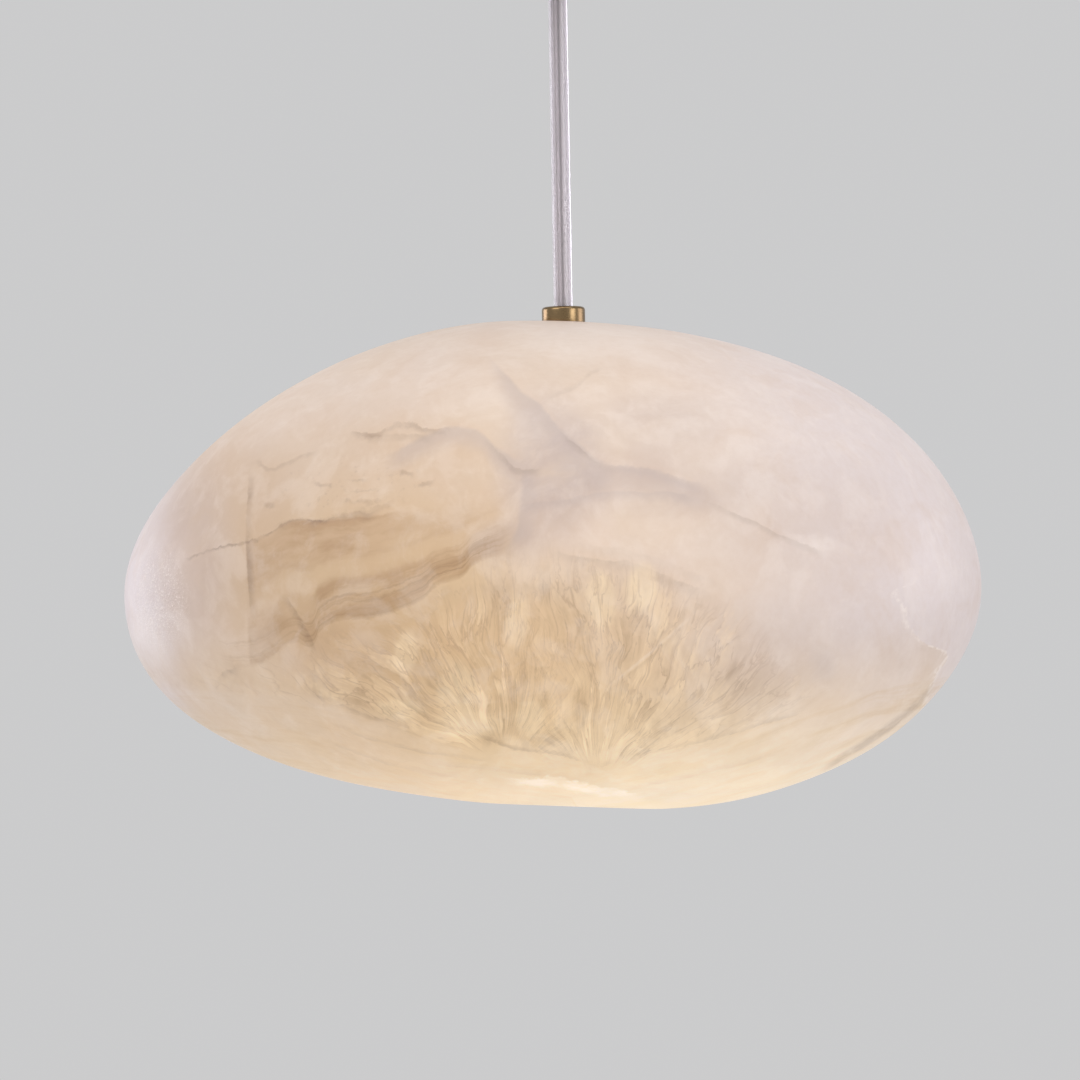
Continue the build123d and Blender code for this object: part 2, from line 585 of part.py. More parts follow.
with BuildPart() as stone_shade:
    for rise in section_rises(END_ANGLE):
        x, left, right, depth = pebble_section(rise, 0)
        with BuildSketch(Plane.XY.offset(STONE_BASE_Z + rise * STONE_HEIGHT)):
            with BuildLine():
                EllipticalCenterArc((x, 0), right, depth, 0, arc_size=90)
                EllipticalCenterArc((x, 0), left, depth, 90, arc_size=90)
                EllipticalCenterArc((x, 0), left, depth, 180, arc_size=90)
                EllipticalCenterArc((x, 0), right, depth, 270, arc_size=90)
            make_face()
    loft()
    for rise in section_rises(HOLLOW_TOP_ANGLE):
        x, left, right, depth = pebble_section(rise, STONE_WALL)
        x = x + HOLLOW_SHIFT
        with BuildSketch(Plane.XY.offset(HOLLOW_BASE_Z + rise * HOLLOW_HEIGHT)):
            with BuildLine():
                EllipticalCenterArc((x, 0), right, depth, 0, arc_size=90)
                EllipticalCenterArc((x, 0), left, depth, 90, arc_size=90)
                EllipticalCenterArc((x, 0), left, depth, 180, arc_size=90)
                EllipticalCenterArc((x, 0), right, depth, 270, arc_size=90)
            make_face()
    loft(mode=Mode.SUBTRACT)
    with BuildSketch(Plane.XY.offset(STONE_BASE_Z)):
        Circle(MOUTH_DIAMETER / 2)
    extrude(amount=STONE_HEIGHT / 2, mode=Mode.SUBTRACT)
    fillet(stone_shade.edges().filter_by(on_lip), LIP_ROUND)
    with BuildSketch(Plane.XY.offset(SEAT_Z)):
        Circle(COLLAR_RADIUS + LOOSE)
    extrude(amount=2 * SEAT_SINK, mode=Mode.SUBTRACT)
    with BuildSketch(Plane.XY.offset(CEILING_Z)):
        Circle(TUBE_RADIUS + LOOSE)
    extrude(amount=CROWN_WALL, mode=Mode.SUBTRACT)
stone_shade.part.label = "stone_shade"
export_step(stone_shade.part, "parts/stone_shade.step")

# Clamp inside the crown: gasket, spreader plate, spring washer and nut
with BuildPart() as inner_gasket:
    with BuildSketch(Plane.XY.offset(PLATE_TOP_Z)):
        Circle(PLATE_DIAMETER / 2 - PLATE_THICKNESS)
        Circle(CLEAR_HOLE, mode=Mode.SUBTRACT)
    extrude(amount=CEILING_Z - PLATE_TOP_Z)
inner_gasket.part.label = "inner_gasket"
export_step(inner_gasket.part, "parts/inner_gasket.step")

with BuildPart() as spreader_plate:
    with BuildSketch(Plane.XY.offset(PLATE_FOOT_Z)):
        Circle(PLATE_DIAMETER / 2)
        Circle(CLEAR_HOLE, mode=Mode.SUBTRACT)
    extrude(amount=PLATE_THICKNESS)
    chamfer(spreader_plate.faces().sort_by(Axis.Z)[0].outer_wire().edges(), PLATE_THICKNESS / 4)
spreader_plate.part.label = "spreader_plate"
export_step(spreader_plate.part, "parts/spreader_plate.step")

with BuildPart() as spring_washer:
    with BuildSketch(Plane.XY.offset(SPRING_FOOT_Z)):
        Circle(WASHER_RADIUS)
        Circle(CLEAR_HOLE, mode=Mode.SUBTRACT)
        with Locations((WASHER_RADIUS, 0)):
            Rectangle(WASHER_RADIUS, WASHER_SLIT, mode=Mode.SUBTRACT)
    extrude(amount=WASHER_HEIGHT)
spring_washer.part.label = "spring_washer"
export_step(spring_washer.part, "parts/spring_washer.step")

with BuildPart() as upper_nut:
    with BuildSketch(Plane.XY.offset(COVER_TOP_Z)):
        RegularPolygon(NUT_FLATS / 2, 6, major_radius=False)
        Circle(THREAD_HOLE, mode=Mode.SUBTRACT)
    extrude(amount=NUT_HEIGHT)
upper_nut.part.label = "upper_nut"
export_step(upper_nut.part, "parts/upper_nut.step")

# Lampholder: a spun cover, a steel strap inside it, the nut that holds both on the tube, and a
# ceramic body with two slots, spring contacts, screws and leads
STRAP_OUTER_Y = COVER_DIAMETER / 2 - COVER_WALL - 2
STRAP_INNER_Y = STRAP_OUTER_Y - STRAP_THICKNESS
HOLDER_SCREW_Y = STRAP_INNER_Y - 1.7 * SMALL_SCREW_RADIUS - SLIDE
STRAP_TOE_Y = HOLDER_SCREW_Y - 1.7 * SMALL_SCREW_RADIUS
TOE_TOP_Z = HOLDER_TOP_Z + STRAP_THICKNESS
HOLDER_SCREW_LENGTH = 8.0
LEAD_SINK = 3.0
PIN_X = PIN_PITCH / 2
SLOT_X_LENGTH = PIN_WIDTH + PIN_WIRE + 2 * LOOSE
PIN_SLOT_WIDTH = PIN_WIRE + 4 * LOOSE
PIN_SLOT_DEPTH = PIN_LENGTH + 2
CONTACT_THICKNESS = LOOSE

with BuildPart() as holder_cover:
    with BuildSketch(Plane.XY.offset(COVER_FOOT_Z)):
        Circle(COVER_DIAMETER / 2)
    extrude(amount=COVER_LENGTH)
    fillet(holder_cover.faces().sort_by(Axis.Z)[-1].edges(), 2 * COVER_WALL)
    offset(amount=-COVER_WALL, openings=holder_cover.faces().sort_by(Axis.Z)[0])
    with BuildSketch(Plane.XY.offset(COVER_TOP_Z)):
        Circle(CLEAR_HOLE)
    extrude(amount=-COVER_WALL, mode=Mode.SUBTRACT)
holder_cover.part.label = "holder_cover"
export_step(holder_cover.part, "parts/holder_cover.step")

with BuildPart() as holder_strap:
    with BuildSketch(Plane.YZ):
        with BuildLine():
            Polyline(
                (-STRAP_OUTER_Y, STRAP_TOP_Z),
                (STRAP_OUTER_Y, STRAP_TOP_Z),
                (STRAP_OUTER_Y, HOLDER_TOP_Z),
                (STRAP_TOE_Y, HOLDER_TOP_Z),
                (STRAP_TOE_Y, TOE_TOP_Z),
                (STRAP_INNER_Y, TOE_TOP_Z),
                (STRAP_INNER_Y, STRAP_FOOT_Z),
                (-STRAP_INNER_Y, STRAP_FOOT_Z),
                (-STRAP_INNER_Y, TOE_TOP_Z),
                (-STRAP_TOE_Y, TOE_TOP_Z),
                (-STRAP_TOE_Y, HOLDER_TOP_Z),
                (-STRAP_OUTER_Y, HOLDER_TOP_Z),
                close=True,
            )
        make_face()
    extrude(amount=STRAP_WIDTH / 2, both=True)
    with BuildSketch(Plane.XY.offset(STRAP_FOOT_Z)):
        Circle(WASHER_RADIUS)
    extrude(amount=STRAP_THICKNESS)
    with BuildSketch(Plane.XY.offset(STRAP_FOOT_Z)):
        Circle(CLEAR_HOLE)
    extrude(amount=STRAP_THICKNESS, mode=Mode.SUBTRACT)
    with BuildSketch(Plane.XY.offset(HOLDER_TOP_Z)):
        with GridLocations(1, 2 * HOLDER_SCREW_Y, 1, 2):
            Circle(SMALL_SCREW_RADIUS + TIGHT)
    extrude(amount=STRAP_THICKNESS, mode=Mode.SUBTRACT)
holder_strap.part.label = "holder_strap"
export_step(holder_strap.part, "parts/holder_strap.step")

with BuildPart() as lower_nut:
    with BuildSketch(Plane.XY.offset(LOWER_NUT_FOOT_Z)):
        RegularPolygon(NUT_FLATS / 2, 6, major_radius=False)
        Circle(THREAD_HOLE, mode=Mode.SUBTRACT)
    extrude(amount=NUT_HEIGHT)
lower_nut.part.label = "lower_nut"
export_step(lower_nut.part, "parts/lower_nut.step")

with BuildPart() as lampholder:
    with BuildSketch(Plane.XY.offset(HOLDER_FOOT_Z)):
        Circle(HOLDER_DIAMETER / 2)
    extrude(amount=HOLDER_LENGTH)
    chamfer(lampholder.faces().sort_by(Axis.Z)[0].edges(), 1)
    with BuildSketch(Plane.XY.offset(HOLDER_FOOT_Z)):
        with GridLocations(PIN_PITCH, 1, 2, 1):
            Rectangle(SLOT_X_LENGTH, PIN_SLOT_WIDTH)
    extrude(amount=PIN_SLOT_DEPTH, mode=Mode.SUBTRACT)
    with BuildSketch(Plane.XY.offset(HOLDER_TOP_Z)):
        with GridLocations(1, 2 * HOLDER_SCREW_Y, 1, 2):
            Circle(SMALL_SCREW_RADIUS + TIGHT)
    extrude(amount=-HOLDER_SCREW_LENGTH, mode=Mode.SUBTRACT)
    with BuildSketch(Plane.XY.offset(HOLDER_TOP_Z)):
        with GridLocations(PIN_PITCH, 1, 2, 1):
            Circle(CORE_RADIUS + TIGHT)
    extrude(amount=-LEAD_SINK, mode=Mode.SUBTRACT)
lampholder.part.label = "lampholder"
export_step(lampholder.part, "parts/lampholder.step")

with BuildPart() as holder_contacts:
    with BuildSketch(Plane.XY.offset(HOLDER_FOOT_Z + PIN_SLOT_DEPTH)):
        with Locations((0, (PIN_SLOT_WIDTH - CONTACT_THICKNESS) / 2)):
            with GridLocations(PIN_PITCH, 1, 2, 1):
                Rectangle(PIN_WIDTH, CONTACT_THICKNESS)
    extrude(amount=-PIN_SLOT_DEPTH * 0.75)
holder_contacts.part.label = "holder_contacts"
export_step(holder_contacts.part, "parts/holder_contacts.step")

with BuildPart() as holder_screws:
    with BuildSketch(Plane.XY.offset(TOE_TOP_Z)):
        with GridLocations(1, 2 * HOLDER_SCREW_Y, 1, 2):
            Circle(1.7 * SMALL_SCREW_RADIUS)
    extrude(amount=HEAD_HEIGHT * 0.7)
    with BuildSketch(Plane.XY.offset(TOE_TOP_Z + HEAD_HEIGHT * 0.7)):
        with GridLocations(1, 2 * HOLDER_SCREW_Y, 1, 2):
            Rectangle(3 * SMALL_SCREW_DIAMETER, SCREW_SLOT)
    extrude(amount=-HEAD_HEIGHT * 0.35, mode=Mode.SUBTRACT)
    with BuildSketch(Plane.XY.offset(TOE_TOP_Z)):
        with GridLocations(1, 2 * HOLDER_SCREW_Y, 1, 2):
            Circle(SMALL_SCREW_RADIUS)
    extrude(amount=-HOLDER_SCREW_LENGTH)
holder_screws.part.label = "holder_screws"
export_step(holder_screws.part, "parts/holder_screws.step")

with BuildPart() as lower_leads:
    for side in (-1, 1):
        with BuildLine() as lead_path:
            FilletPolyline(
                (side * CORE_X, 0, CORD_FOOT_Z - LOOSE),
                (side * CORE_X, 0, CORD_FOOT_Z - LOOSE - LEAD_HEIGHT * 0.3),
                (side * PIN_X, 0, HOLDER_TOP_Z + LEAD_HEIGHT * 0.25),
                (side * PIN_X, 0, HOLDER_TOP_Z - LEAD_SINK),
                radius=CORE_DIAMETER,
            )
        with BuildSketch(Plane.XY.offset(CORD_FOOT_Z - LOOSE)):
            with Locations((side * CORE_X, 0)):
                Circle(CORE_RADIUS)
        sweep(path=lead_path.wires()[0])
lower_leads.part.label = "lower_leads"
export_step(lower_leads.part, "parts/lower_leads.step")

# Bulb: a two-pin capsule bulb, with a moulded base, wire pins, a frosted capsule and its board
CAPSULE_RADIUS = BULB_DIAMETER / 2
SPIGOT_LENGTH = 3.0
BOARD_WIDTH = BULB_DIAMETER * 0.55
BOARD_THICKNESS = 1.2
BOARD_LENGTH = BULB_LENGTH * 0.75

with BuildPart() as bulb_base:
    with BuildSketch(Plane.XY.offset(CAPSULE_TOP_Z)):
        RectangleRounded(BULB_BASE_WIDTH, BULB_BASE_DEPTH, BULB_BASE_DEPTH / 4)
    extrude(amount=BULB_BASE_LENGTH)
    with BuildSketch(Plane.XY.offset(CAPSULE_TOP_Z)):
        Circle(CAPSULE_RADIUS)
    extrude(amount=SPIGOT_LENGTH)
    with BuildSketch(Plane.XY.offset(CAPSULE_TOP_Z)):
        Circle(CAPSULE_RADIUS - BULB_WALL)
    extrude(amount=-SPIGOT_LENGTH)
    fillet(bulb_base.faces().sort_by(Axis.Z)[-1].edges(), 1)
bulb_base.part.label = "bulb_base"
export_step(bulb_base.part, "parts/bulb_base.step")

with BuildPart() as bulb_capsule:
    with BuildSketch(Plane.XY.offset(CAPSULE_FOOT_Z)):
        Circle(CAPSULE_RADIUS)
    extrude(amount=BULB_LENGTH)
    fillet(bulb_capsule.faces().sort_by(Axis.Z)[0].edges(), CAPSULE_RADIUS * 0.9)
    offset(amount=-BULB_WALL, openings=bulb_capsule.faces().sort_by(Axis.Z)[-1])
bulb_capsule.part.label = "bulb_capsule"
export_step(bulb_capsule.part, "parts/bulb_capsule.step")

with BuildPart() as bulb_pins:
    for pin_x in (-PIN_X, PIN_X):
        with BuildLine() as pin_path:
            FilletPolyline(
                (pin_x - PIN_WIDTH / 2, 0, BULB_TOP_Z),
                (pin_x - PIN_WIDTH / 2, 0, BULB_TOP_Z + PIN_LENGTH),
                (pin_x + PIN_WIDTH / 2, 0, BULB_TOP_Z + PIN_LENGTH),
                (pin_x + PIN_WIDTH / 2, 0, BULB_TOP_Z),
                radius=PIN_WIDTH * 0.45,
            )
        with BuildSketch(Plane.XY.offset(BULB_TOP_Z)):
            with Locations((pin_x - PIN_WIDTH / 2, 0)):
                Circle(PIN_WIRE / 2)
        sweep(path=pin_path.wires()[0])
bulb_pins.part.label = "bulb_pins"
export_step(bulb_pins.part, "parts/bulb_pins.step")

with BuildPart() as led_board:
    with BuildSketch(Plane.XY.offset(CAPSULE_TOP_Z - SPIGOT_LENGTH)):
        Rectangle(BOARD_WIDTH, BOARD_THICKNESS)
    extrude(amount=-BOARD_LENGTH)
led_board.part.label = "led_board"
export_step(led_board.part, "parts/led_board.step")
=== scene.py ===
"""Looks of an alabaster pendant light: a lit stone pebble on a clear cord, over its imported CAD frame."""

import json
import logging
import math
from dataclasses import dataclass, field
from enum import Enum
from functools import reduce
from typing import Any, Sequence, Union

import bmesh
import bpy
import numpy as np
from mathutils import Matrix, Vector


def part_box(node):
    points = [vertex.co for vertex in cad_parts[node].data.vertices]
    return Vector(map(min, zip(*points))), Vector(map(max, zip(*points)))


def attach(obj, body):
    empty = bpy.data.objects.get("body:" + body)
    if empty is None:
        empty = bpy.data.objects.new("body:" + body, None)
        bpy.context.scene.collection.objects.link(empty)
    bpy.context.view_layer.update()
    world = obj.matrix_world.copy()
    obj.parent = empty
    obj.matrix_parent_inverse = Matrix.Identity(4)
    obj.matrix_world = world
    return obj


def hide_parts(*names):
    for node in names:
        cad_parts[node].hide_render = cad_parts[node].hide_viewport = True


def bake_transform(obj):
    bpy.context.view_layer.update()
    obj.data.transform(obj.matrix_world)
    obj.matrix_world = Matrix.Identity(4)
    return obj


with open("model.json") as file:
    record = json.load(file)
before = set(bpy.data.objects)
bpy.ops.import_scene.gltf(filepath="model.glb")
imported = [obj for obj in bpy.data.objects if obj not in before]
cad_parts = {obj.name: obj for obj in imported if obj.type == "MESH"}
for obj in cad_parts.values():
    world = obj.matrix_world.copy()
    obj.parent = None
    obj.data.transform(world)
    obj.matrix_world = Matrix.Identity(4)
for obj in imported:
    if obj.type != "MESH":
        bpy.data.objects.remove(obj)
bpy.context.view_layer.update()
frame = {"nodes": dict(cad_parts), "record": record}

LOG = logging.getLogger("pendant")
MM = 0.001
CROWN_Z = -152.6
LIT_POINT = (0, 0, -0.22)
HOLLOW = "hollow_wall"
Socket = bpy.types.NodeSocket
Value = Union[Socket, float, int, Sequence[float]]
Colour = tuple[float, float, float]
Line = tuple[tuple[float, float], ...]


class Axis(Enum):
    """Which way a vein in the stone runs, seen from the front."""

    ACROSS = "across"
    UPRIGHT = "upright"


class Tint(Enum):
    """What a vein is filled with."""

    BROWN = "brown"
    SLATE = "slate"
    MILK = "milk"


# Meshes


def surface(name: str, rings: np.ndarray, closed: bool = False) -> bpy.types.Object:
    """Make a piece from rings of points that each close on themselves.

    Each ring is joined to the next by quads. With closed set, the last ring is joined to the first, as
    on a thick wall. Rings that shrink to one point are merged there, and the faces are turned outwards.

    Args:
        name: The piece's name.
        rings: Points in millimetres, shaped (rings, points on a ring, 3).
        closed: Whether the last ring meets the first.

    Returns:
        The piece, at the origin, smooth but for its sharp edges.
    """
    count, around = rings.shape[:2]
    index = np.arange(count * around).reshape(count, around)
    low = index if closed else index[:-1]
    high = np.roll(index, -1, axis=0) if closed else index[1:]
    quads = np.stack([low, np.roll(low, -1, 1), np.roll(high, -1, 1), high], axis=-1).reshape(-1, 4)
    points = rings.reshape(-1, 3)
    a, b, c, d = (points[quads[:, k]] for k in range(4))
    volume = np.einsum("ij,ij->", a, np.cross(b, c) + np.cross(c, d))
    if volume < 0:
        quads = quads[:, ::-1]
    mesh = bpy.data.meshes.new(name)
    mesh.from_pydata((points * MM).tolist(), [], quads.tolist())
    shell = bmesh.new()
    shell.from_mesh(mesh)
    bmesh.ops.remove_doubles(shell, verts=shell.verts, dist=1e-7)
    shell.to_mesh(mesh)
    shell.free()
    mesh.polygons.foreach_set("use_smooth", np.ones(len(mesh.polygons), dtype=bool))
    mesh.set_sharp_from_angle(angle=math.radians(32))
    piece = bpy.data.objects.new(name, mesh)
    bpy.context.scene.collection.objects.link(piece)
    return piece


def arc(x: float, z: float, radius: float, start: float, end: float, steps: int = 9) -> np.ndarray:
    """Points of a circular arc in a profile.

    Args:
        x: The centre's distance from the axis.
        z: The centre's height.
        radius: The arc's radius.
        start: The first angle in degrees, from outwards towards up.
        end: The last angle in degrees.
        steps: How many points.

    Returns:
        Points (radius, height), each the centre plus the radius along the angle.
    """
    angle = np.radians(np.linspace(start, end, steps))
    return np.stack([x + radius * np.cos(angle), z + radius * np.sin(angle)], axis=1)


def turned(name: str, profile: Sequence[Any], around: int = 128, closed: bool = True) -> bpy.types.Object:
    """Turn a profile about the cord's axis, as on a lathe.

    A point (r, z) of the profile goes to (r cos a, r sin a, z) at each angle a.

    Args:
        name: The piece's name.
        profile: Points or arrays of points (radius, height) in millimetres.
        around: How many points go round.
        closed: Whether the profile is a closed section.

    Returns:
        The turned piece.
    """
    line = np.concatenate([np.atleast_2d(np.asarray(part, dtype=float)) for part in profile])
    angle = np.linspace(0, 2 * np.pi, around, endpoint=False)
    x = line[:, :1] * np.cos(angle)
    y = line[:, :1] * np.sin(angle)
    z = np.broadcast_to(line[:, 1:], x.shape)
    return surface(name, np.stack([x, y, z], axis=-1), closed)


def tube(name: str, line: np.ndarray, radius: float, x: float, y: float, around: int = 40) -> bpy.types.Object:
    """Carry a circle down a nearly upright line, with rounded ends.

    A point at angle a and station s is line(s) + (x + r(s) cos a, y + r(s) sin a, 0), where r(s) falls
    from the radius to nothing at both ends.

    Args:
        name: The piece's name.
        line: Points of the route in millimetres.
        radius: The tube's radius.
        x: Where the tube's middle lies beside the route.
        y: Where the tube's middle lies behind the route.
        around: How many points go round.

    Returns:
        The tube.
    """
    angle = np.linspace(0, 2 * np.pi, around, endpoint=False)
    share = np.concatenate([[0.0, 0.9], np.ones(len(line)), [0.9, 0.0]])
    stations = np.concatenate([line[:1], line[:1], line, line[-1:], line[-1:]])
    ring = np.stack([np.cos(angle), np.sin(angle), np.zeros(around)], axis=1)
    rings = stations[:, None, :] + share[:, None, None] * radius * ring + np.array([x, y, 0.0])
    return surface(name, rings)


def route(points: Sequence[Sequence[float]]) -> np.ndarray:
    """Points along the smooth spline that a cord follows.

    Args:
        points: The route's control points in millimetres.

    Returns:
        Points of the spline in millimetres.
    """
    curve = bpy.data.curves.new("cord_route", "CURVE")
    curve.dimensions = "3D"
    curve.resolution_u = 8
    spline = curve.splines.new("NURBS")
    spline.points.add(len(points) - 1)
    flat = np.ones((len(points), 4))
    flat[:, :3] = points
    spline.points.foreach_set("co", flat.ravel())
    spline.order_u = 3
    spline.use_endpoint_u = True
    holder = bpy.data.objects.new("cord_route", curve)
    mesh = bpy.data.meshes.new_from_object(holder)
    line = np.empty(len(mesh.vertices) * 3)
    mesh.vertices.foreach_get("co", line)
    bpy.data.objects.remove(holder)
    bpy.data.curves.remove(curve)
    bpy.data.meshes.remove(mesh)
    return line.reshape(-1, 3)


# Node trees


class Graph:
    """Writes shader nodes as short formulas."""

    def __init__(self, tree: bpy.types.NodeTree) -> None:
        """Keep the tree that the nodes go into."""
        self.tree = tree

    def add(self, kind: str, **settings: Any) -> bpy.types.Node:
        """Add a node and set its options."""
        node = self.tree.nodes.new("ShaderNode" + kind)
        for key, value in settings.items():
            setattr(node, key, value)
        return node

    def feed(self, socket: Socket, value: Value) -> None:
        """Link a socket to an input, or set the input's value."""
        if isinstance(value, bpy.types.NodeSocket):
            self.tree.links.new(value, socket)
        else:
            socket.default_value = value

    def math(self, operation: str, *values: Value) -> Socket:
        """One Math node."""
        node = self.add("Math", operation=operation)
        for socket, value in zip(node.inputs, values):
            self.feed(socket, value)
        return node.outputs[0]

    def times(self, *values: Value) -> Socket:
        """Product of the values."""
        return reduce(lambda first, second: self.math("MULTIPLY", first, second), values)

    def plus(self, *values: Value) -> Socket:
        """Sum of the values."""
        return reduce(lambda first, second: self.math("ADD", first, second), values)

    def minus(self, first: Value, second: Value) -> Socket:
        """The first value less the second."""
        return self.math("SUBTRACT", first, second)

    def scaled(self, value: Value, factor: Value, offset: Value) -> Socket:
        """A value times a factor, plus an offset."""
        return self.math("MULTIPLY_ADD", value, factor, offset)

    def total(self, values: Sequence[Value]) -> Socket:
        """Sum of several values from 0 up, held to 1."""
        return self.math("MINIMUM", self.plus(*values), 1)

    def span(self, x: Value, y: Value) -> Socket:
        """Length of the flat vector (x, y)."""
        return self.math("SQRT", self.scaled(x, x, self.times(y, y)))

    def vector(self, operation: str, *values: Value) -> Socket:
        """One Vector Math node."""
        node = self.add("VectorMath", operation=operation)
        for socket, value in zip(node.inputs, values):
            self.feed(socket, value)
        return node.outputs[0]

    def join(self, x: Value, y: Value, z: Value) -> Socket:
        """A vector from three values."""
        node = self.add("CombineXYZ")
        for socket, value in zip(node.inputs, (x, y, z)):
            self.feed(socket, value)
        return node.outputs[0]

    def split(self, vector: Socket) -> list[Socket]:
        """The three values of a vector."""
        node = self.add("SeparateXYZ")
        self.feed(node.inputs[0], vector)
        return list(node.outputs)

    def place(self) -> Socket:
        """The point's place on the object in millimetres."""
        spot = self.add("TexCoord").outputs["Object"]
        node = self.add("VectorMath", operation="SCALE")
        self.feed(node.inputs[0], spot)
        node.inputs["Scale"].default_value = 1000
        return node.outputs[0]

    def noise(self, vector: Socket, scale: Value, detail: float = 3, rough: float = 0.5, bend: float = 0) -> Socket:
        """The value of one Noise Texture."""
        node = self.add("TexNoise")
        for key, value in (("Vector", vector), ("Scale", scale), ("Detail", detail), ("Roughness", rough),
                           ("Distortion", bend)):
            self.feed(node.inputs[key], value)
        return node.outputs[0]

    def stir(self, vector: Socket, scale: float, detail: float, rough: float = 0.5) -> Socket:
        """A noise vector whose parts lie about 0."""
        noise = self.noise(vector, scale, detail, rough).node
        return self.vector("SUBTRACT", noise.outputs["Color"], (0.5, 0.5, 0.5))

    def cells(self, vector: Socket, scale: Value, feature: str = "F1") -> bpy.types.Node:
        """One Voronoi Texture."""
        node = self.add("TexVoronoi", feature=feature)
        self.feed(node.inputs["Vector"], vector)
        self.feed(node.inputs["Scale"], scale)
        return node

    def ease(self, value: Value, start: Value, end: Value, low: Value = 0, high: Value = 1) -> Socket:
        """A smooth step from low at start to high at end."""
        node = self.add("MapRange", interpolation_type="SMOOTHSTEP", clamp=False)
        for socket, number in zip(node.inputs, (value, start, end, low, high)):
            self.feed(socket, number)
        return node.outputs[0]

    def window(self, value: Value, start: Value, full: Value, fade: Value, end: Value) -> Socket:
        """A smooth rise from start to full, and a smooth fall from fade to end."""
        return self.times(self.ease(value, start, full), self.ease(value, fade, end, 1, 0))

    def mix(self, share: Value, first: Value, second: Value, blend: str = "MIX") -> Socket:
        """A mix of two colours."""
        node = self.add("Mix", data_type="RGBA", blend_type=blend)
        for place, value in ((0, share), (6, first), (7, second)):
            if isinstance(value, tuple) and len(value) == 3:
                value = (*value, 1)
            self.feed(node.inputs[place], value)
        return node.outputs[2]

    def curve(self, value: Socket, points: Line) -> Socket:
        """A smooth function through points, which may lie anywhere.

        Args:
            value: The function's argument.
            points: Points (argument, result), with rising arguments.

        Returns:
            The result, level beyond the end points.
        """
        table = np.asarray(points, dtype=float)
        low, high = table.min(axis=0), table.max(axis=0)
        span = np.maximum(high - low, 1e-6)
        share = self.add("MapRange", clamp=False)
        for socket, number in zip(share.inputs, (value, float(low[0]), float(high[0]), 0, 1)):
            self.feed(socket, number)
        node = self.add("FloatCurve")
        node.mapping.extend = "HORIZONTAL"
        handles = node.mapping.curves[0].points
        for x, y in ((table - low) / span)[1:-1]:
            handles.new(float(x), float(y))
        handles[0].location = (0, float((table[0, 1] - low[1]) / span[1]))
        handles[len(handles) - 1].location = (1, float((table[-1, 1] - low[1]) / span[1]))
        node.mapping.update()
        self.feed(node.inputs["Value"], share.outputs[0])
        return self.scaled(node.outputs[0], float(span[1]), float(low[1]))

    def group(self, tree: bpy.types.NodeTree, **inputs: Value) -> bpy.types.Node:
        """A node of a shared group, with its inputs."""
        node = self.add("Group", node_tree=tree)
        for key, value in inputs.items():
            self.feed(node.inputs[key.replace("_", " ").capitalize()], value)
        return node


def effect(name: str, inputs: dict[str, float], outputs: Sequence[str]) -> tuple[Graph, Any, Any]:
    """Start a shared shader group of plain values.

    Args:
        name: The group's name.
        inputs: Each input's name and usual value.
        outputs: The outputs' names.

    Returns:
        The group's graph, its input sockets by name and its output sockets by name.
    """
    tree = bpy.data.node_groups.new(name, "ShaderNodeTree")
    for key, value in inputs.items():
        tree.interface.new_socket(key, in_out="INPUT", socket_type="NodeSocketFloat").default_value = value
    for key in outputs:
        tree.interface.new_socket(key, in_out="OUTPUT", socket_type="NodeSocketFloat")
    start = tree.nodes.new("NodeGroupInput")
    end = tree.nodes.new("NodeGroupOutput")
    return Graph(tree), start.outputs, end.inputs


def vein_effect() -> bpy.types.NodeTree:
    """Group that draws one vein: dark on its line, soft at its two sides and fading to both ends."""
    g, given, out = effect("stone_vein", {"Distance": 0, "Along": 0, "Start": 0, "End": 1, "Width": 0.4,
                                          "Softness": 1, "Trail": 1, "Taper": 6}, ["Mask"])
    distance, width, taper = given["Distance"], given["Width"], given["Taper"]
    upper = g.ease(distance, width, g.plus(width, given["Softness"]), 1, 0)
    lower = g.ease(g.times(distance, -1), width, g.plus(width, given["Trail"]), 1, 0)
    ends = g.window(given["Along"], given["Start"], g.plus(given["Start"], taper), g.minus(given["End"], taper),
                    given["End"])
    g.feed(out["Mask"], g.times(g.math("MINIMUM", upper, lower), ends))
    return g.tree


def marks_effect() -> bpy.types.NodeTree:
    """Group of lathe marks: fine lines round the cord's axis, with smudges and rubbed spots."""
    g, given, out = effect("lathe_marks", {"Fineness": 4, "Smudge size": 12}, ["Lines", "Smudge"])
    x, y, z = g.split(g.place())
    turn = g.times(g.math("ARCTAN2", y, x), 0.06)
    g.feed(out["Lines"], g.noise(g.join(g.span(x, y), z, turn), given["Fineness"], 4, 0.7))
    size = g.math("DIVIDE", 1, given["Smudge size"])
    g.feed(out["Smudge"], g.ease(g.noise(g.place(), size, 4, 0.6), 0.35, 0.7))
    return g.tree


def mottle_effect() -> bpy.types.NodeTree:
    """Group of faint unevenness: slow clouds of shade and a fine grain."""
    g, given, out = effect("faint_mottle", {"Cloud size": 8, "Grain size": 0.4}, ["Cloud", "Grain"])
    g.feed(out["Cloud"], g.noise(g.place(), g.math("DIVIDE", 1, given["Cloud size"]), 3, 0.55))
    g.feed(out["Grain"], g.noise(g.place(), g.math("DIVIDE", 1, given["Grain size"]), 2, 0.6))
    return g.tree


VEIN = vein_effect()
MARKS = marks_effect()
MOTTLE = mottle_effect()


def start_material(name: str, **constants: Any) -> tuple[bpy.types.Material, Graph, Any]:
    """Start a material with one Principled shader.

    Args:
        name: The material's name.
        constants: Values that are the same all over, by socket name with underscores for spaces.

    Returns:
        The material, its graph and the shader's inputs.
    """
    material = bpy.data.materials.new(name)
    material.use_nodes = True
    graph = Graph(material.node_tree)
    shader = material.node_tree.nodes["Principled BSDF"].inputs
    for key, value in constants.items():
        shader[key.replace("_", " ")].default_value = value
    return material, graph, shader


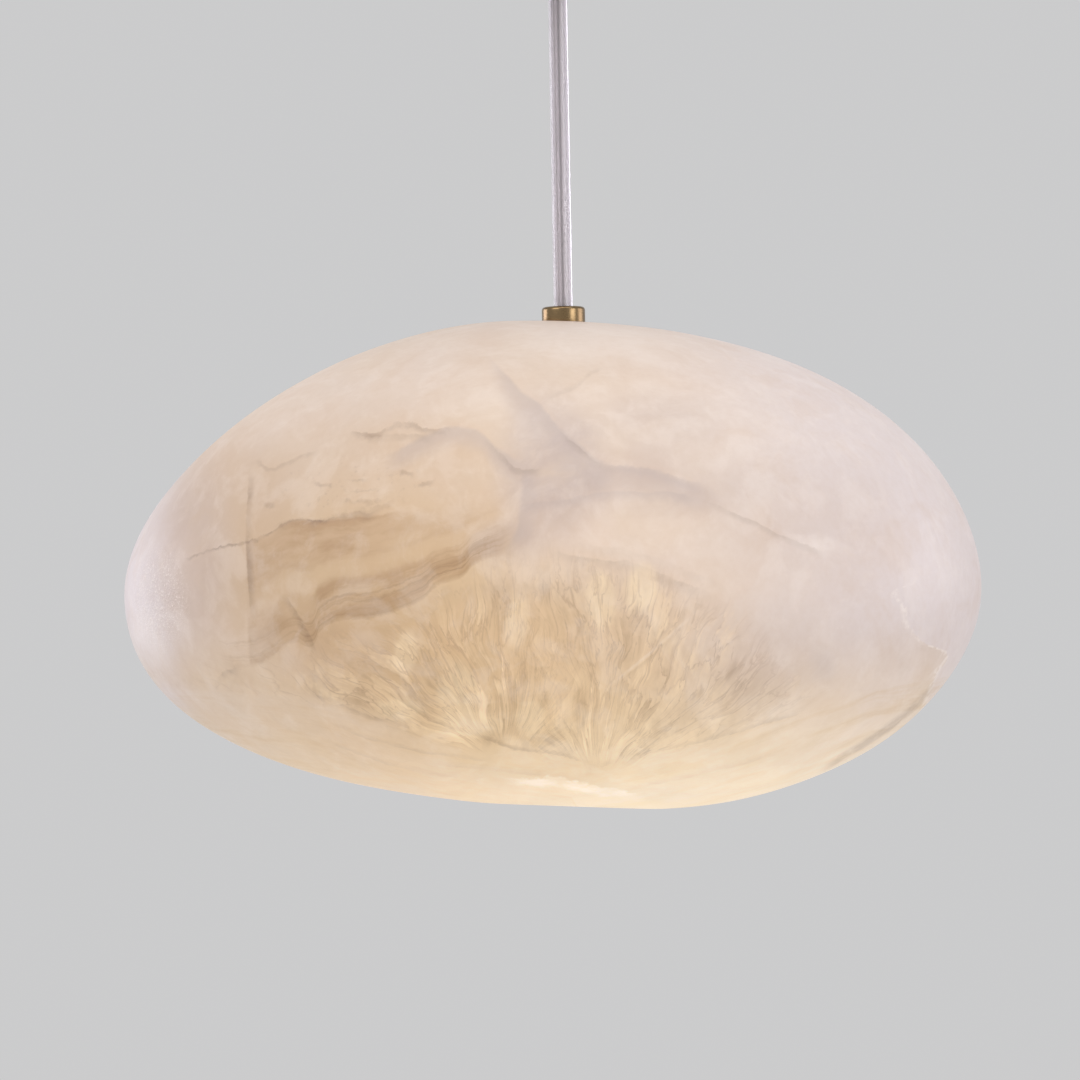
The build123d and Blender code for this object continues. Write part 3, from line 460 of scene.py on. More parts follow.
def add_bump(graph: Graph, shader: Any, height: Socket, distance: float, strength: float = 1) -> None:
    """Raise a surface by a height pattern.

    Args:
        graph: The material's graph.
        shader: The shader's inputs.
        height: The pattern, from 0 to 1.
        distance: How far a height of 1 stands up, in metres.
        strength: How much of it shows.
    """
    node = graph.add("Bump")
    node.inputs["Distance"].default_value = distance
    node.inputs["Strength"].default_value = strength
    graph.feed(node.inputs["Height"], height)
    graph.feed(shader["Normal"], node.outputs[0])


# Finishes


@dataclass(frozen=True)
class TurnedMetal:
    """A metal with fine lathe marks and slight tarnish."""

    name: str
    tone: Colour
    tarnish: Colour
    roughness: float
    fineness: float
    smudge: float

    def material(self) -> bpy.types.Material:
        """Make the metal's material."""
        material, g, shader = start_material(self.name, Metallic=1.0)
        marks = g.group(MARKS, fineness=self.fineness, smudge_size=self.smudge).outputs
        share = g.scaled(marks["Lines"], 0.5, g.times(marks["Smudge"], 0.45))
        g.feed(shader["Base Color"], g.mix(share, self.tone, self.tarnish))
        rough = g.scaled(marks["Smudge"], 0.1, self.roughness)
        g.feed(shader["Roughness"], g.scaled(marks["Lines"], 0.12, rough))
        add_bump(g, shader, marks["Lines"], 0.00004, 0.5)
        return material


@dataclass(frozen=True)
class Moulded:
    """A moulded, fired or painted finish with a faint cloud and grain."""

    name: str
    tone: Colour
    shade: Colour
    roughness: float
    grain: float = 0.5
    relief: float = 0.00002
    glow: Colour = (0, 0, 0)

    def material(self) -> bpy.types.Material:
        """Make the finish's material."""
        material, g, shader = start_material(self.name)
        mottle = g.group(MOTTLE, cloud_size=9, grain_size=self.grain).outputs
        share = g.scaled(mottle["Grain"], 0.35, g.times(mottle["Cloud"], 0.65))
        g.feed(shader["Base Color"], g.mix(g.ease(share, 0.25, 0.75), self.tone, self.shade))
        g.feed(shader["Roughness"], g.scaled(mottle["Cloud"], 0.16, self.roughness))
        if max(self.glow) > 0:
            g.feed(shader["Emission Color"], g.mix(mottle["Cloud"], self.glow, self.tone))
            shader["Emission Strength"].default_value = 1
        add_bump(g, shader, mottle["Grain"], self.relief)
        return material


@dataclass(frozen=True)
class ClearSheath:
    """Clear soft plastic, slightly milky, with drawn streaks along the cord."""

    name: str = "clear_sheath"
    tone: Colour = (0.95, 0.92, 0.95)
    milk: Colour = (0.88, 0.84, 0.88)

    def material(self) -> bpy.types.Material:
        """Make the sheath's material."""
        material, g, shader = start_material(self.name, Metallic=0.0, IOR=1.4, Transmission_Weight=0.7)
        x, y, z = g.split(g.place())
        streak = g.noise(g.join(x, y, g.times(z, 0.002)), 1.1, 3, 0.6)
        share = g.ease(streak, 0.35, 0.65)
        g.feed(shader["Base Color"], g.mix(share, self.tone, self.milk))
        g.feed(shader["Roughness"], g.scaled(streak, 0.08, 0.06))
        add_bump(g, shader, streak, 0.000005, 0.3)
        return material


@dataclass(frozen=True)
class CoreInsulation:
    """Thin clear insulation over fine stranded wire: untinned copper on the left, tinned on the right, and painted
    shade between the two cores.
    """

    name: str = "core_insulation"
    # also the colour of the painted shade between the two cores
    copper: Colour = (0.30, 0.235, 0.265)
    tinned: Colour = (0.82, 0.78, 0.82)
    gap: Colour = (0.62, 0.56, 0.60)
    line_x: float = -1.2

    def material(self) -> bpy.types.Material:
        """Make the cores' material: the copper shows on a thin line, and the copper colour is also painted as shade
        where the two cores face each other.
        """
        material, g, shader = start_material(self.name)
        x, y, z = g.split(g.place())
        lay = g.math("SINE", g.scaled(z, 5.5, g.times(x, 9)))
        strand = g.scaled(lay, 0.08, g.noise(g.join(x, y, g.times(z, 0.02)), 2.5, 2))
        copper_line_and_gap_shade = g.ease(g.math("ABSOLUTE", g.minus(x, self.line_x)), 0.08, 0.3, 1, 0)
        # painted shade: the copper colour darkens both cores where they face each other near x = 0
        copper_line_and_gap_shade = g.math("MAXIMUM", copper_line_and_gap_shade, g.ease(g.math("ABSOLUTE", x), 0.2, 0.55, 1, 0))
        between = g.window(x, -1.3, -1.0, -0.5, 0.1)
        tone = g.mix(g.times(between, g.ease(strand, 0.3, 0.8, 0.4, 1)), self.tinned, self.gap)
        g.feed(shader["Base Color"], g.mix(g.times(copper_line_and_gap_shade, g.ease(strand, 0.2, 0.8, 1, 0.6)), tone, self.copper))
        g.feed(shader["Roughness"], g.scaled(strand, 0.2, 0.3))
        return material


@dataclass(frozen=True)
class FrostedGlass:
    """The lit bulb's etched glass, warm and bright, hotter in its middle."""

    name: str = "frosted_glass"
    tone: Colour = (0.92, 0.84, 0.70)
    light: Colour = (1.0, 0.80, 0.52)
    dim: Colour = (0.86, 0.60, 0.34)
    middle_z: float = -258

    def material(self) -> bpy.types.Material:
        """Make the glass's material."""
        material, g, shader = start_material(self.name, Roughness=0.5, IOR=1.5, Emission_Strength=1.6)
        z = g.split(g.place())[2]
        mottle = g.group(MOTTLE, cloud_size=6, grain_size=0.25).outputs
        middle = g.ease(g.math("ABSOLUTE", g.minus(z, self.middle_z)), 6, 22, 1, 0)
        g.feed(shader["Base Color"], g.mix(mottle["Grain"], self.tone, self.light))
        g.feed(shader["Emission Color"], g.mix(g.times(middle, mottle["Cloud"]), self.dim, self.light))
        add_bump(g, shader, mottle["Grain"], 0.00002)
        return material


@dataclass(frozen=True)
class Vein:
    """One vein or crack in the stone, as a line on its front face.

    Points are millimetres (right of the cord, above the crown), in rising order along the vein, and
    (height, right) for an upright one. The softness is that of its upper or right side, and the trail
    that of the other.
    """

    points: Line
    tint: Tint
    strength: float
    width: float
    softness: float
    trail: float
    jitter: float = 1.0
    taper: float = 5
    axis: Axis = Axis.ACROSS


VEINS: tuple[Vein, ...] = (
    # the jagged crack on the left, the upright fracture that crosses it and the fault below
    Vein(((-129, -81), (-120, -78), (-105, -75), (-97, -72), (-90, -69), (-79, -69), (-70, -67)),
         Tint.BROWN, 0.40, 0.05, 0.4, 0.9, 1.2, 8),
    Vein(((-97, -72), (-90, -69), (-80, -69), (-70, -67), (-60, -66)), Tint.BROWN, 0.24, 0.15, 0.7, 2.6, 1.4, 6),
    Vein(((-72, -66), (-62, -65), (-53, -63)), Tint.BROWN, 0.13, 0.2, 1.0, 1.6, 1.8, 6),
    Vein(((-101, -103), (-91, -104), (-75, -105), (-61, -105), (-50, -104)), Tint.BROWN, 0.32, 0.15, 2.4, 0.6, 0.5,
         10, Axis.UPRIGHT),
    Vein(((-112, -82), (-101, -87), (-91, -94)), Tint.BROWN, 0.32, 0.1, 0.8, 3.0, 0.6, 5, Axis.UPRIGHT),
    Vein(((-119.5, -126), (-118, -122), (-112, -117), (-108, -116)), Tint.BROWN, 0.22, 0.2, 1.2, 3.0),
    # wisps, a broken line and the broad grey wave below the crown
    Vein(((-72, -38), (-65, -40), (-59, -39), (-54, -37), (-44, -40), (-36, -40)), Tint.BROWN, 0.26, 0.1, 0.6, 2.4,
         1.6),
    Vein(((-68, -39), (-59, -41.5), (-50, -42), (-42, -43)), Tint.BROWN, 0.16, 0.4, 1.0, 3.0, 1.6),
    Vein(((-61, -51), (-52, -47), (-44, -43), (-37, -41), (-30, -42), (-23, -48), (-12, -54)), Tint.SLATE, 0.40,
         0.6, 2.0, 7.0, 0.9, 9),
    Vein(((-28, -43), (-21, -49), (-16, -53), (-8, -53)), Tint.BROWN, 0.2, 0.1, 0.7, 2.6, 1.0, 4),
    Vein(((-106, -52), (-103, -49), (-98, -51), (-93, -50), (-87, -48), (-80, -46)), Tint.BROWN, 0.16, 0.1, 0.8,
         1.6, 1.2),
    # specks and short rungs between the wisps and the crack
    Vein(((-84, -56), (-80, -57), (-74, -58)), Tint.BROWN, 0.22, 0.1, 0.9, 1.2, 1.6, 4),
    Vein(((-73, -56), (-63, -56)), Tint.BROWN, 0.13, 0.05, 0.4, 0.6, 1.2, 5),
    Vein(((-73, -60), (-60, -59)), Tint.BROWN, 0.13, 0.05, 0.4, 0.6, 1.2, 5),
    Vein(((-76, -63), (-60, -63)), Tint.BROWN, 0.2, 0.1, 0.8, 1.4, 1.8, 6),
    Vein(((-55, -54), (-49, -55)), Tint.BROWN, 0.28, 0.1, 0.9, 1.4, 1.4, 2),
    Vein(((-49, -58), (-42, -57)), Tint.BROWN, 0.28, 0.1, 0.9, 1.4, 1.4, 2),
    Vein(((-100, -63), (-95, -63)), Tint.BROWN, 0.2, 0.2, 0.8, 1.0, 0.8, 1.5),
    # the grey vein from the crown, its side branch and the crack that it becomes
    Vein(((-27, -13), (-20, -23), (-15, -29), (-9, -34), (-2, -43), (4, -48), (10, -53), (17, -54)), Tint.SLATE,
         0.40, 0.2, 2.2, 16.0, 0.9, 9),
    Vein(((-4, -41), (4, -48), (10, -53), (17, -54)), Tint.BROWN, 0.16, 0.1, 0.6, 2.6, 0.9, 6),
    Vein(((-9, -33), (-4, -30), (3, -27), (8, -23), (13, -20)), Tint.BROWN, 0.12, 0.1, 1.8, 0.9, 0.9, 5),
    Vein(((2, -57), (22, -57), (36, -61), (52, -66)), Tint.SLATE, 0.34, 1.0, 3.0, 7.0, 1.2, 16),
    Vein(((10, -54), (24, -55), (36, -58), (45, -61)), Tint.SLATE, 0.24, 0.1, 0.9, 4.0, 1.0, 8),
    Vein(((42, -65), (51, -68), (58, -71), (66, -76), (74, -79), (82, -82)), Tint.BROWN, 0.16, 0.1, 0.6, 2.4, 0.9),
    Vein(((66, -75), (74, -78), (86, -80), (94, -83)), Tint.MILK, 0.3, 0.6, 2.0, 3.0, 1.4, 8),
    Vein(((-16, -65), (-3, -64), (8, -62), (22, -62), (40, -66)), Tint.SLATE, 0.2, 0.1, 0.8, 3.4, 0.9),
    # the rounded end of the block and arcs over the crystal fan
    Vein(((-82, -24), (-74, -16), (-64, -14), (-50, -14)), Tint.SLATE, 0.34, 0.2, 6.0, 2.0, 0.8, 8, Axis.UPRIGHT),
    Vein(((-8, -80), (8, -83), (16, -84), (25, -87), (36, -91), (48, -97)), Tint.BROWN, 0.16, 0.1, 0.9, 4.4, 1.2, 12),
    Vein(((-2, -77), (14, -80), (36, -87), (52, -95)), Tint.BROWN, 0.06, 0.3, 1.2, 3.0, 1.2, 12),
    Vein(((-52, -95), (-32, -92), (-4, -92), (20, -95)), Tint.BROWN, 0.07, 0.3, 1.6, 5.0, 1.2, 12),
    # rays and streaks at the fan's foot
    Vein(((-82, -109), (-68, -118), (-56, -127), (-42, -135), (-27, -141), (-12, -145)), Tint.BROWN, 0.16, 0.05,
         2.0, 0.5, 1.1, 14),
    Vein(((-30, -140), (-14, -144), (-3, -146), (5, -151)), Tint.BROWN, 0.16, 0.05, 1.6, 0.5, 1.1),
    Vein(((2, -151), (28, -145), (47, -141), (80, -131)), Tint.BROWN, 0.15, 0.05, 2.0, 0.5, 1.1, 14),
    Vein(((14, -160), (30, -156), (48, -152), (70, -146)), Tint.BROWN, 0.12, 0.05, 2.0, 0.6, 0.9, 14),
    Vein(((-50, -149), (-26, -151), (-5, -154), (14, -158)), Tint.BROWN, 0.1, 0.05, 2.4, 0.6, 0.9, 12),
    Vein(((-82, -133), (-67, -139.5), (-47, -145), (-24, -148)), Tint.BROWN, 0.12, 0.05, 1.4, 0.5, 1.0, 12),
    Vein(((-92, -122), (-80, -126), (-66, -132), (-54, -135)), Tint.BROWN, 0.12, 0.05, 0.6, 1.6, 1.0, 10),
    Vein(((-86, -140), (-70, -146), (-52, -152), (-34, -155)), Tint.BROWN, 0.09, 0.05, 1.6, 0.5, 1.0, 12),
    Vein(((-24, -155), (-5, -156), (12, -159), (25, -164)), Tint.MILK, 0.8, 0.8, 1.0, 3.0, 1.8, 9),
    Vein(((7, -127), (20, -116), (33, -105), (42, -98)), Tint.MILK, 0.22, 0.1, 0.8, 1.2, 0.4, 9),
    Vein(((7, -128.5), (20, -117.5), (33, -106.5)), Tint.BROWN, 0.1, 0.05, 0.5, 1.6, 0.4, 9),
    # a grey spot and a brown stripe low on the right
    Vein(((-127, 82), (-121, 81), (-110, 80)), Tint.SLATE, 0.2, 1.0, 5.0, 5.0, 1.2, 8, Axis.UPRIGHT),
    Vein(((82, -157), (92, -151), (100, -146), (106, -142), (112, -138), (118, -133), (125, -126)), Tint.BROWN, 0.3,
         0.8, 3.0, 3.0, 0.8, 8),
)


@dataclass(frozen=True)
class Patch:
    """A soft oval of colour in the stone, in millimetres on its front face.

    The share is how much of the colour shows in its middle, and the inner part is the part of its size that
    is full.
    """

    x: float
    z: float
    half_width: float
    half_height: float
    share: float = 1.0
    inner: float = 0.3

    def mask(self, g: Graph, u: Socket, v: Socket) -> Socket:
        """Draw the oval.

        Args:
            g: The material's graph.
            u: Place to the right.
            v: Place upwards.

        Returns:
            The share in the oval's middle, falling to 0 at its edge.
        """
        across = g.math("DIVIDE", g.minus(u, self.x), self.half_width)
        up = g.math("DIVIDE", g.minus(v, self.z), self.half_height)
        return g.ease(g.span(across, up), self.inner, 1.0, self.share, 0)


@dataclass
class Fabric:
    """What the stone's patterns share.

    The place is in millimetres from the crown, and the bent place is stirred by a slow swirl. u and v are
    the place to the right and upwards, sheared behind the front face, where the patterns are fainter. The
    drift and the two wanders are noises about 0, and the wisps and the fine grain noises from 0 to 1.
    """

    g: Graph
    place: Socket
    bent: Socket
    x: Socket
    z: Socket
    u: Socket
    v: Socket
    front: Socket
    drift: Socket
    wander: list[Socket]
    wisps: Socket
    fine: Socket

    def patches(self, ovals: Sequence[Patch]) -> Socket:
        """Sum of soft ovals, held to 1."""
        return self.g.total([oval.mask(self.g, self.u, self.v) for oval in ovals])


@dataclass(frozen=True)
class Alabaster:
    """Lit alabaster: cream clouds, veins, a tan block with tilted layers, a crystal fan and a warm glow."""

    name: str = "alabaster"
    cream: Colour = (0.60, 0.485, 0.375)
    rose: Colour = (0.62, 0.52, 0.455)
    lilac: Colour = (0.62, 0.565, 0.575)
    tan: Colour = (0.39, 0.24, 0.125)
    honey: Colour = (0.50, 0.345, 0.175)
    blade: Colour = (0.76, 0.62, 0.42)
    brown: Colour = (0.20, 0.115, 0.075)
    slate: Colour = (0.40, 0.335, 0.335)
    milk: Colour = (0.78, 0.72, 0.68)
    warm_light: Colour = (0.46, 0.285, 0.125)
    foot_light: Colour = (0.655, 0.535, 0.355)
    pale_light: Colour = (0.21, 0.18, 0.168)
    hollow_light: Colour = (0.60, 0.50, 0.37)
    lamp_place: tuple[float, float, float] = (-8, 0, -112)
    lamp_stretch: tuple[float, float, float] = (1.0, 0.86, 1.2)
    foot_x: float = 55
    crack: Line = ((-129, -81), (-120, -78), (-105, -75), (-97, -72), (-90, -69), (-79, -69), (-66, -67), (-55, -66),
                   (-38, -62), (-14, -54))
    layer_foot: Line = (
        (-118, -114), (-105, -115), (-97, -112), (-89, -107), (-84, -109), (-81, -104), (-76, -101), (-65, -100),
        (-58, -98), (-47, -94), (-42, -90), (-35, -88), (-31, -84), (-20, -79), (-13, -72))
    block_tone: Line = ((0, 0.85), (0.08, 1.0), (0.3, 1.0), (0.4, 0.6), (0.48, 0.2), (0.56, 0.3), (0.68, 0.95),
                        (1.0, 0.95))
    right_seam: Line = (
        (-132, 121), (-123, 123), (-118, 126), (-115, 122), (-113, 117), (-109, 112), (-105, 109), (-100, 108),
        (-96, 105), (-93, 111), (-88, 114), (-81, 110), (-76, 106), (-62, 103), (-50, 99), (-42, 93))
    fan_arch: Line = ((-112, -112), (-96, -112), (-84, -108), (-60, -100), (-40, -91), (-14, -80), (5, -81), (30, -88),
                      (56, -103), (76, -124), (96, -138))
    fan_foot: Line = (
        (-115, -122), (-89, -124), (-56, -134), (-30, -142), (-16, -144), (-1, -146), (4, -152), (8, -150), (30, -144),
        (60, -134), (80, -128), (100, -122))
    left_focus: tuple[float, float] = (-20, -150)
    right_focus: tuple[float, float] = (7, -158)
    warm: tuple[Patch, ...] = (Patch(-26, -120, 100, 50, 0.72), Patch(-62, -92, 70, 46, 0.72))
    shaded: tuple[Patch, ...] = (
        Patch(-114, -70, 38, 46, 0.44), Patch(-54, -58, 62, 36, 0.32), Patch(84, -80, 40, 30, 0.14),
        Patch(0, -152, 20, 7, 0.5), Patch(-76, -111, 30, 15, 0.24), Patch(-60, -108, 58, 22, 0.36))
    # pale stone; the patch low on the left is painted light
    pale: tuple[Patch, ...] = (
        Patch(8, -10, 40, 12, 0.34), Patch(-144, -112, 12, 22, 0.5), Patch(-98, -126, 42, 24, 0.15),
        Patch(66, -136, 18, 9, 0.2), Patch(-3, -89, 18, 10, 0.12))
    grey: tuple[Patch, ...] = (
        Patch(-6, -53, 23, 33, 0.86), Patch(30, -60, 44, 14, 0.35), Patch(-126, -79, 22, 42, 0.48),
        Patch(26, -41, 32, 17, 0.46), Patch(-20, -77, 16, 10, 0.5), Patch(72, -66, 48, 26, 0.16),
        Patch(58, -116, 36, 24, 0.26))
    plates: tuple[Patch, ...] = (
        Patch(-37, -124, 8, 12, inner=0.5), Patch(-34, -135, 12, 6, inner=0.5), Patch(-17, -102, 5, 10, inner=0.5),
        Patch(-53, -111, 5, 9, inner=0.5), Patch(9, -96, 6, 12, inner=0.5), Patch(22, -92, 7, 10, inner=0.5),
        Patch(-56, -130, 9, 5, inner=0.5), Patch(-14, -133, 6, 8, inner=0.5))
    calm: Patch = Patch(-87, -97, 10, 8, 0.6)
    right_shade: Patch = Patch(113, -119, 18, 16, 0.1)
    flecked: Patch = Patch(-72, -58, 40, 14, 0.2)
    rough_end_painted_sparkle: Patch = Patch(-138, -94, 15, 24)

    def fabric(self, g: Graph) -> Fabric:
        """Lay out the places and noises that the patterns share."""
        place = g.vector("ADD", g.place(), (0, 0, -CROWN_Z))
        swirl = g.stir(place, 0.02, 3)
        bent = g.vector("MULTIPLY_ADD", swirl, (34, 34, 34), place)
        x, y, z = g.split(place)
        behind = g.math("MAXIMUM", y, 0)
        slow, quick = g.stir(place, 0.05, 2), g.stir(place, 0.3, 4, 0.66)
        rough = g.vector("MULTIPLY_ADD", quick, (2.2, 2.2, 2.2), g.vector("MULTIPLY", slow, (4, 4, 4)))
        return Fabric(g, place, bent, x, z, u=g.scaled(behind, 0.42, x), v=g.scaled(behind, -0.16, z),
                      front=g.ease(y, 0, 70, 1, 0.5), drift=g.times(g.split(swirl)[0], 2.2),
                      wander=g.split(rough)[:2], wisps=g.noise(bent, 0.045, 5, 0.6, 0.6),
                      fine=g.noise(place, 0.35, 4, 0.6))

    def veins(self, f: Fabric) -> dict[Tint, Socket]:
        """Draw every vein, broken here and there, and fainter on the back.

        Args:
            f: The stone's fabric.

        Returns:
            The mask of each tint.
        """
        g = f.g
        masks: dict[Tint, Socket] = {}
        uneven_u, uneven_v = g.scaled(f.wander[1], 0.2, f.u), g.scaled(f.wander[0], 0.2, f.v)
        for vein in VEINS:
            level = vein.axis is Axis.ACROSS
            along, across = (uneven_u, f.v) if level else (uneven_v, f.u)
            shift = g.times(f.wander[0 if level else 1], vein.jitter)
            path = g.curve(along, vein.points)
            mask = g.group(VEIN, distance=g.minus(g.plus(across, shift), path), along=along,
                           start=float(vein.points[0][0]), end=float(vein.points[-1][0]), width=vein.width,
                           softness=vein.softness, trail=vein.trail, taper=vein.taper).outputs["Mask"]
            mask = g.times(mask, vein.strength)
            masks[vein.tint] = g.plus(masks[vein.tint], mask) if vein.tint in masks else mask
        broken = g.times(g.ease(g.noise(f.place, 0.1, 4, 0.62), 0.38, 0.6, 0.4, 1.15), f.front)
        return {tint: g.times(g.math("MINIMUM", mask, 1), f.front if tint is Tint.SLATE else broken)
                for tint, mask in masks.items()}

    def block(self, f: Fabric) -> tuple[Socket, Socket]:
        """The tan block under the crack and the layers at its foot, which the fault bends.

        Args:
            f: The stone's fabric.

        Returns:
            How tan the block is, with a painted shadow under the crack, and the dark lines of its layers.
        """
        g, u = f.g, f.u
        uneven = g.scaled(f.wander[0], 0.9, f.v)
        foot, top = g.curve(u, self.layer_foot), g.curve(u, self.crack)
        below, off = g.minus(top, uneven), g.minus(uneven, foot)
        blur = g.ease(u, -60, -25, 1.0, 14)
        inside = g.times(g.ease(below, 0, blur), g.ease(off, -0.4, 0.9), g.window(u, -105.8, -104.4, -36, -12))
        share = g.math("DIVIDE", off, g.math("MAXIMUM", g.minus(top, foot), 6))
        sheets = g.noise(g.join(g.times(u, 0.022), g.times(share, 2.4), 0), 1.7, 4, 0.6)
        open_end = g.times(g.ease(u, -74, -44), g.ease(share, 0.5, 0.7, 0, 0.6))
        deep = g.times(g.ease(u, -105, -76, 0.62, 1.0), g.minus(1, open_end))
        tan = g.times(inside, deep, g.curve(share, self.block_tone), g.ease(sheets, 0.38, 0.62, 0.55, 1.25))
        # painted shadow: darker tan just below the crack
        shadow = g.times(g.window(below, -0.4, 0.2, 0, 6), g.window(u, -98, -88, -76, -54))
        tan = g.times(g.scaled(shadow, 0.5, tan), f.front, g.minus(1, self.calm.mask(g, u, f.v)))
        lines = g.noise(g.join(g.times(u, 0.02), off, 3.3), 0.5, 5, 0.66)
        band = g.times(g.window(off, -1.4, 0.4, 5, 13), g.ease(u, -94, -80, 0.5, 1.15))
        edge = g.times(g.ease(g.math("ABSOLUTE", off), 0.1, 1.1, 1, 0), g.ease(u, -84, -78, 0.2, 0.75))
        layers = g.math("MAXIMUM", g.times(band, g.ease(lines, 0.46, 0.62)), edge)
        return tan, g.times(layers, g.window(u, -120, -108, -32, -16), f.front)

    def needles(self, g: Graph, u: Socket, v: Socket, drift: Socket, focus: tuple[float, float]) -> list[Socket]:
        """Feathery crystals that spread from one focus in long facets, each turned a little its own way.

        Args:
            g: The material's graph.
            u: Place to the right.
            v: Place upwards.
            drift: A slow noise about 0 that bends the crystals.
            focus: Where they meet.

        Returns:
            The grain along the crystals from 0 to 1, their thin dark edges and their bright blades.
        """
        x, z = g.minus(u, focus[0]), g.minus(v, focus[1])
        reach = g.span(x, z)
        turn = g.times(g.math("ARCTAN2", x, z), g.scaled(reach, 0.0022, 1))
        turn = g.scaled(drift, 0.12, turn)
        wave = g.noise(g.join(g.times(turn, 9), g.times(reach, 0.05), 2.0), 1, 4, 0.6)
        grid = g.join(g.scaled(wave, 1.0, g.times(turn, 8)), g.scaled(wave, 2.0, g.times(reach, 0.055)), 0)
        facet = g.split(g.cells(grid, 1.0).outputs["Color"])
        rim = g.cells(grid, 1.0, "DISTANCE_TO_EDGE").outputs["Distance"]
        tilted = g.scaled(facet[1], 0.16, turn)
        splinter = g.join(g.scaled(wave, 1.6, g.times(tilted, 19)), g.scaled(wave, 2.6, g.times(reach, 0.07)), 4)
        cut = g.cells(splinter, 1.0, "DISTANCE_TO_EDGE").outputs["Distance"]
        sliver = g.split(g.cells(splinter, 1.0).outputs["Color"])
        narrow = g.noise(g.join(g.times(tilted, 19), g.times(reach, 0.05), 5.0), 1, 3, 0.6)
        hair = g.noise(g.join(g.times(tilted, 52), g.times(reach, 0.06), 9.0), 1, 3, 0.6)
        streak = g.scaled(hair, 0.2, g.scaled(narrow, 0.34, g.times(wave, 0.46)))
        streak = g.scaled(g.minus(facet[2], 0.5), 0.2, streak)
        streak = g.scaled(g.minus(sliver[2], 0.5), 0.07, streak)
        thread = g.times(g.ease(rim, 0.0, 0.06, 1, 0), g.ease(hair, 0.4, 0.6))
        hairline = g.times(g.ease(cut, 0.0, 0.1, 1, 0), g.ease(narrow, 0.48, 0.6))
        plate = g.times(g.ease(facet[0], 0.66, 0.86), g.ease(rim, 0.0, 0.14), g.ease(narrow, 0.34, 0.56, 0.5, 1))
        shard = g.times(g.ease(sliver[0], 0.7, 0.95, 0, 0.5), g.ease(cut, 0.0, 0.06), g.ease(hair, 0.34, 0.6, 0.3, 1))
        clear = g.times(g.ease(reach, 3, 20), g.ease(reach, 66, 115, 1, 0.3))
        return [g.scaled(g.minus(streak, 0.5), clear, 0.5), g.times(g.math("MAXIMUM", thread, hairline), clear),
                g.times(g.math("MAXIMUM", plate, shard), clear)]

    def fan(self, f: Fabric, above: Socket) -> tuple[Socket, Socket, Socket, Socket]:
        """The crystal fan: two sprays of needles under one arched edge.

        Args:
            f: The stone's fabric.
            above: Height above the fan's foot.

        Returns:
            The fan's extent, its dark needles, its bright blades and its thin dark lines.
        """
        g, u, v = f.g, f.u, f.v
        shift = g.split(g.vector("MULTIPLY", g.stir(g.join(u, v, 0), 0.06, 1), (6, 6, 0)))
        place = g.plus(u, shift[0]), g.plus(v, shift[1])
        left = self.needles(g, *place, f.drift, self.left_focus)
        right = self.needles(g, *place, f.drift, self.right_focus)
        side = g.ease(g.scaled(f.drift, 22, u), -24, 4)
        streak, thread, blade = (g.scaled(side, g.minus(second, first), first) for first, second in zip(left, right))
        top = g.minus(g.scaled(streak, 24, g.curve(u, self.fan_arch)), g.plus(v, 12))
        extent = g.times(g.ease(top, -8, 20), g.ease(above, -5, 2, 0.12, 1), g.ease(u, 20, 95, 1, 0.55), f.front)
        clumps = g.noise(g.join(g.times(u, 1.5), v, 6), 0.055, 4, 0.6)
        dark = g.times(g.ease(streak, 0.36, 0.54, 1, 0), g.ease(clumps, 0.42, 0.58, 1.25, 0.4))
        dark = g.math("MAXIMUM", dark, g.ease(clumps, 0.3, 0.48, 0.7, 0))
        glint = g.math("MAXIMUM", g.times(blade, g.ease(top, 0, 12)), g.ease(streak, 0.53, 0.66, 0, 0.7))
        return extent, dark, g.times(glint, g.ease(clumps, 0.42, 0.6, 0.3, 1.35)), thread

    def ground(self, f: Fabric, right: Socket) -> tuple[Socket, Socket]:
        """The stone behind its veins and crystals: clouds, lilac ends of painted bluish side light, soft patches and
        the tan block.

        Args:
            f: The stone's fabric.
            right: Mask of the stone beyond the seam at the right end.

        Returns:
            Its colour, and how much of the lamp's light it holds back.
        """
        g, u, v = f.g, f.u, f.v
        colour = g.mix(g.ease(g.noise(f.bent, 0.014, 5, 0.55), 0.36, 0.66), self.cream, self.rose)
        colour = g.mix(g.ease(f.z, -75, -15, 0, 0.6), colour, self.rose)
        # painted light: lilac on the right half and the left tip, where the side lamps light the ends
        painted_cool_light = g.total([g.times(g.ease(u, 0, 95, 0, 0.8), g.ease(v, -140, -95)),
                        g.times(g.ease(u, -122, -142), g.ease(v, -152, -124))])
        colour = g.mix(g.math("MAXIMUM", painted_cool_light, g.times(right, 0.8)), colour, self.lilac)
        colour = g.mix(g.math("MAXIMUM", *(oval.mask(g, u, v) for oval in self.warm)), colour, self.honey)
        tan, layers = self.block(f)
        colour = g.mix(g.math("MINIMUM", g.times(tan, 0.9), 1), colour, self.tan)
        colour = g.mix(g.times(self.right_shade.mask(g, u, v), g.minus(1, right)), colour, self.tan)
        colour = g.mix(f.patches(self.shaded), colour, self.tan)
        # pale patches: pale stone, with painted light low on the left
        colour = g.mix(f.patches(self.pale), colour, self.milk)
        grey = f.patches(self.grey)
        colour = g.mix(g.times(grey, g.ease(f.wisps, 0.3, 0.7, 0.4, 1)), colour, self.slate)
        stain = g.plus(g.times(layers, 0.3), g.times(tan, 0.26), g.times(grey, 0.2))
        return g.mix(g.times(layers, 0.55), colour, self.tan), stain

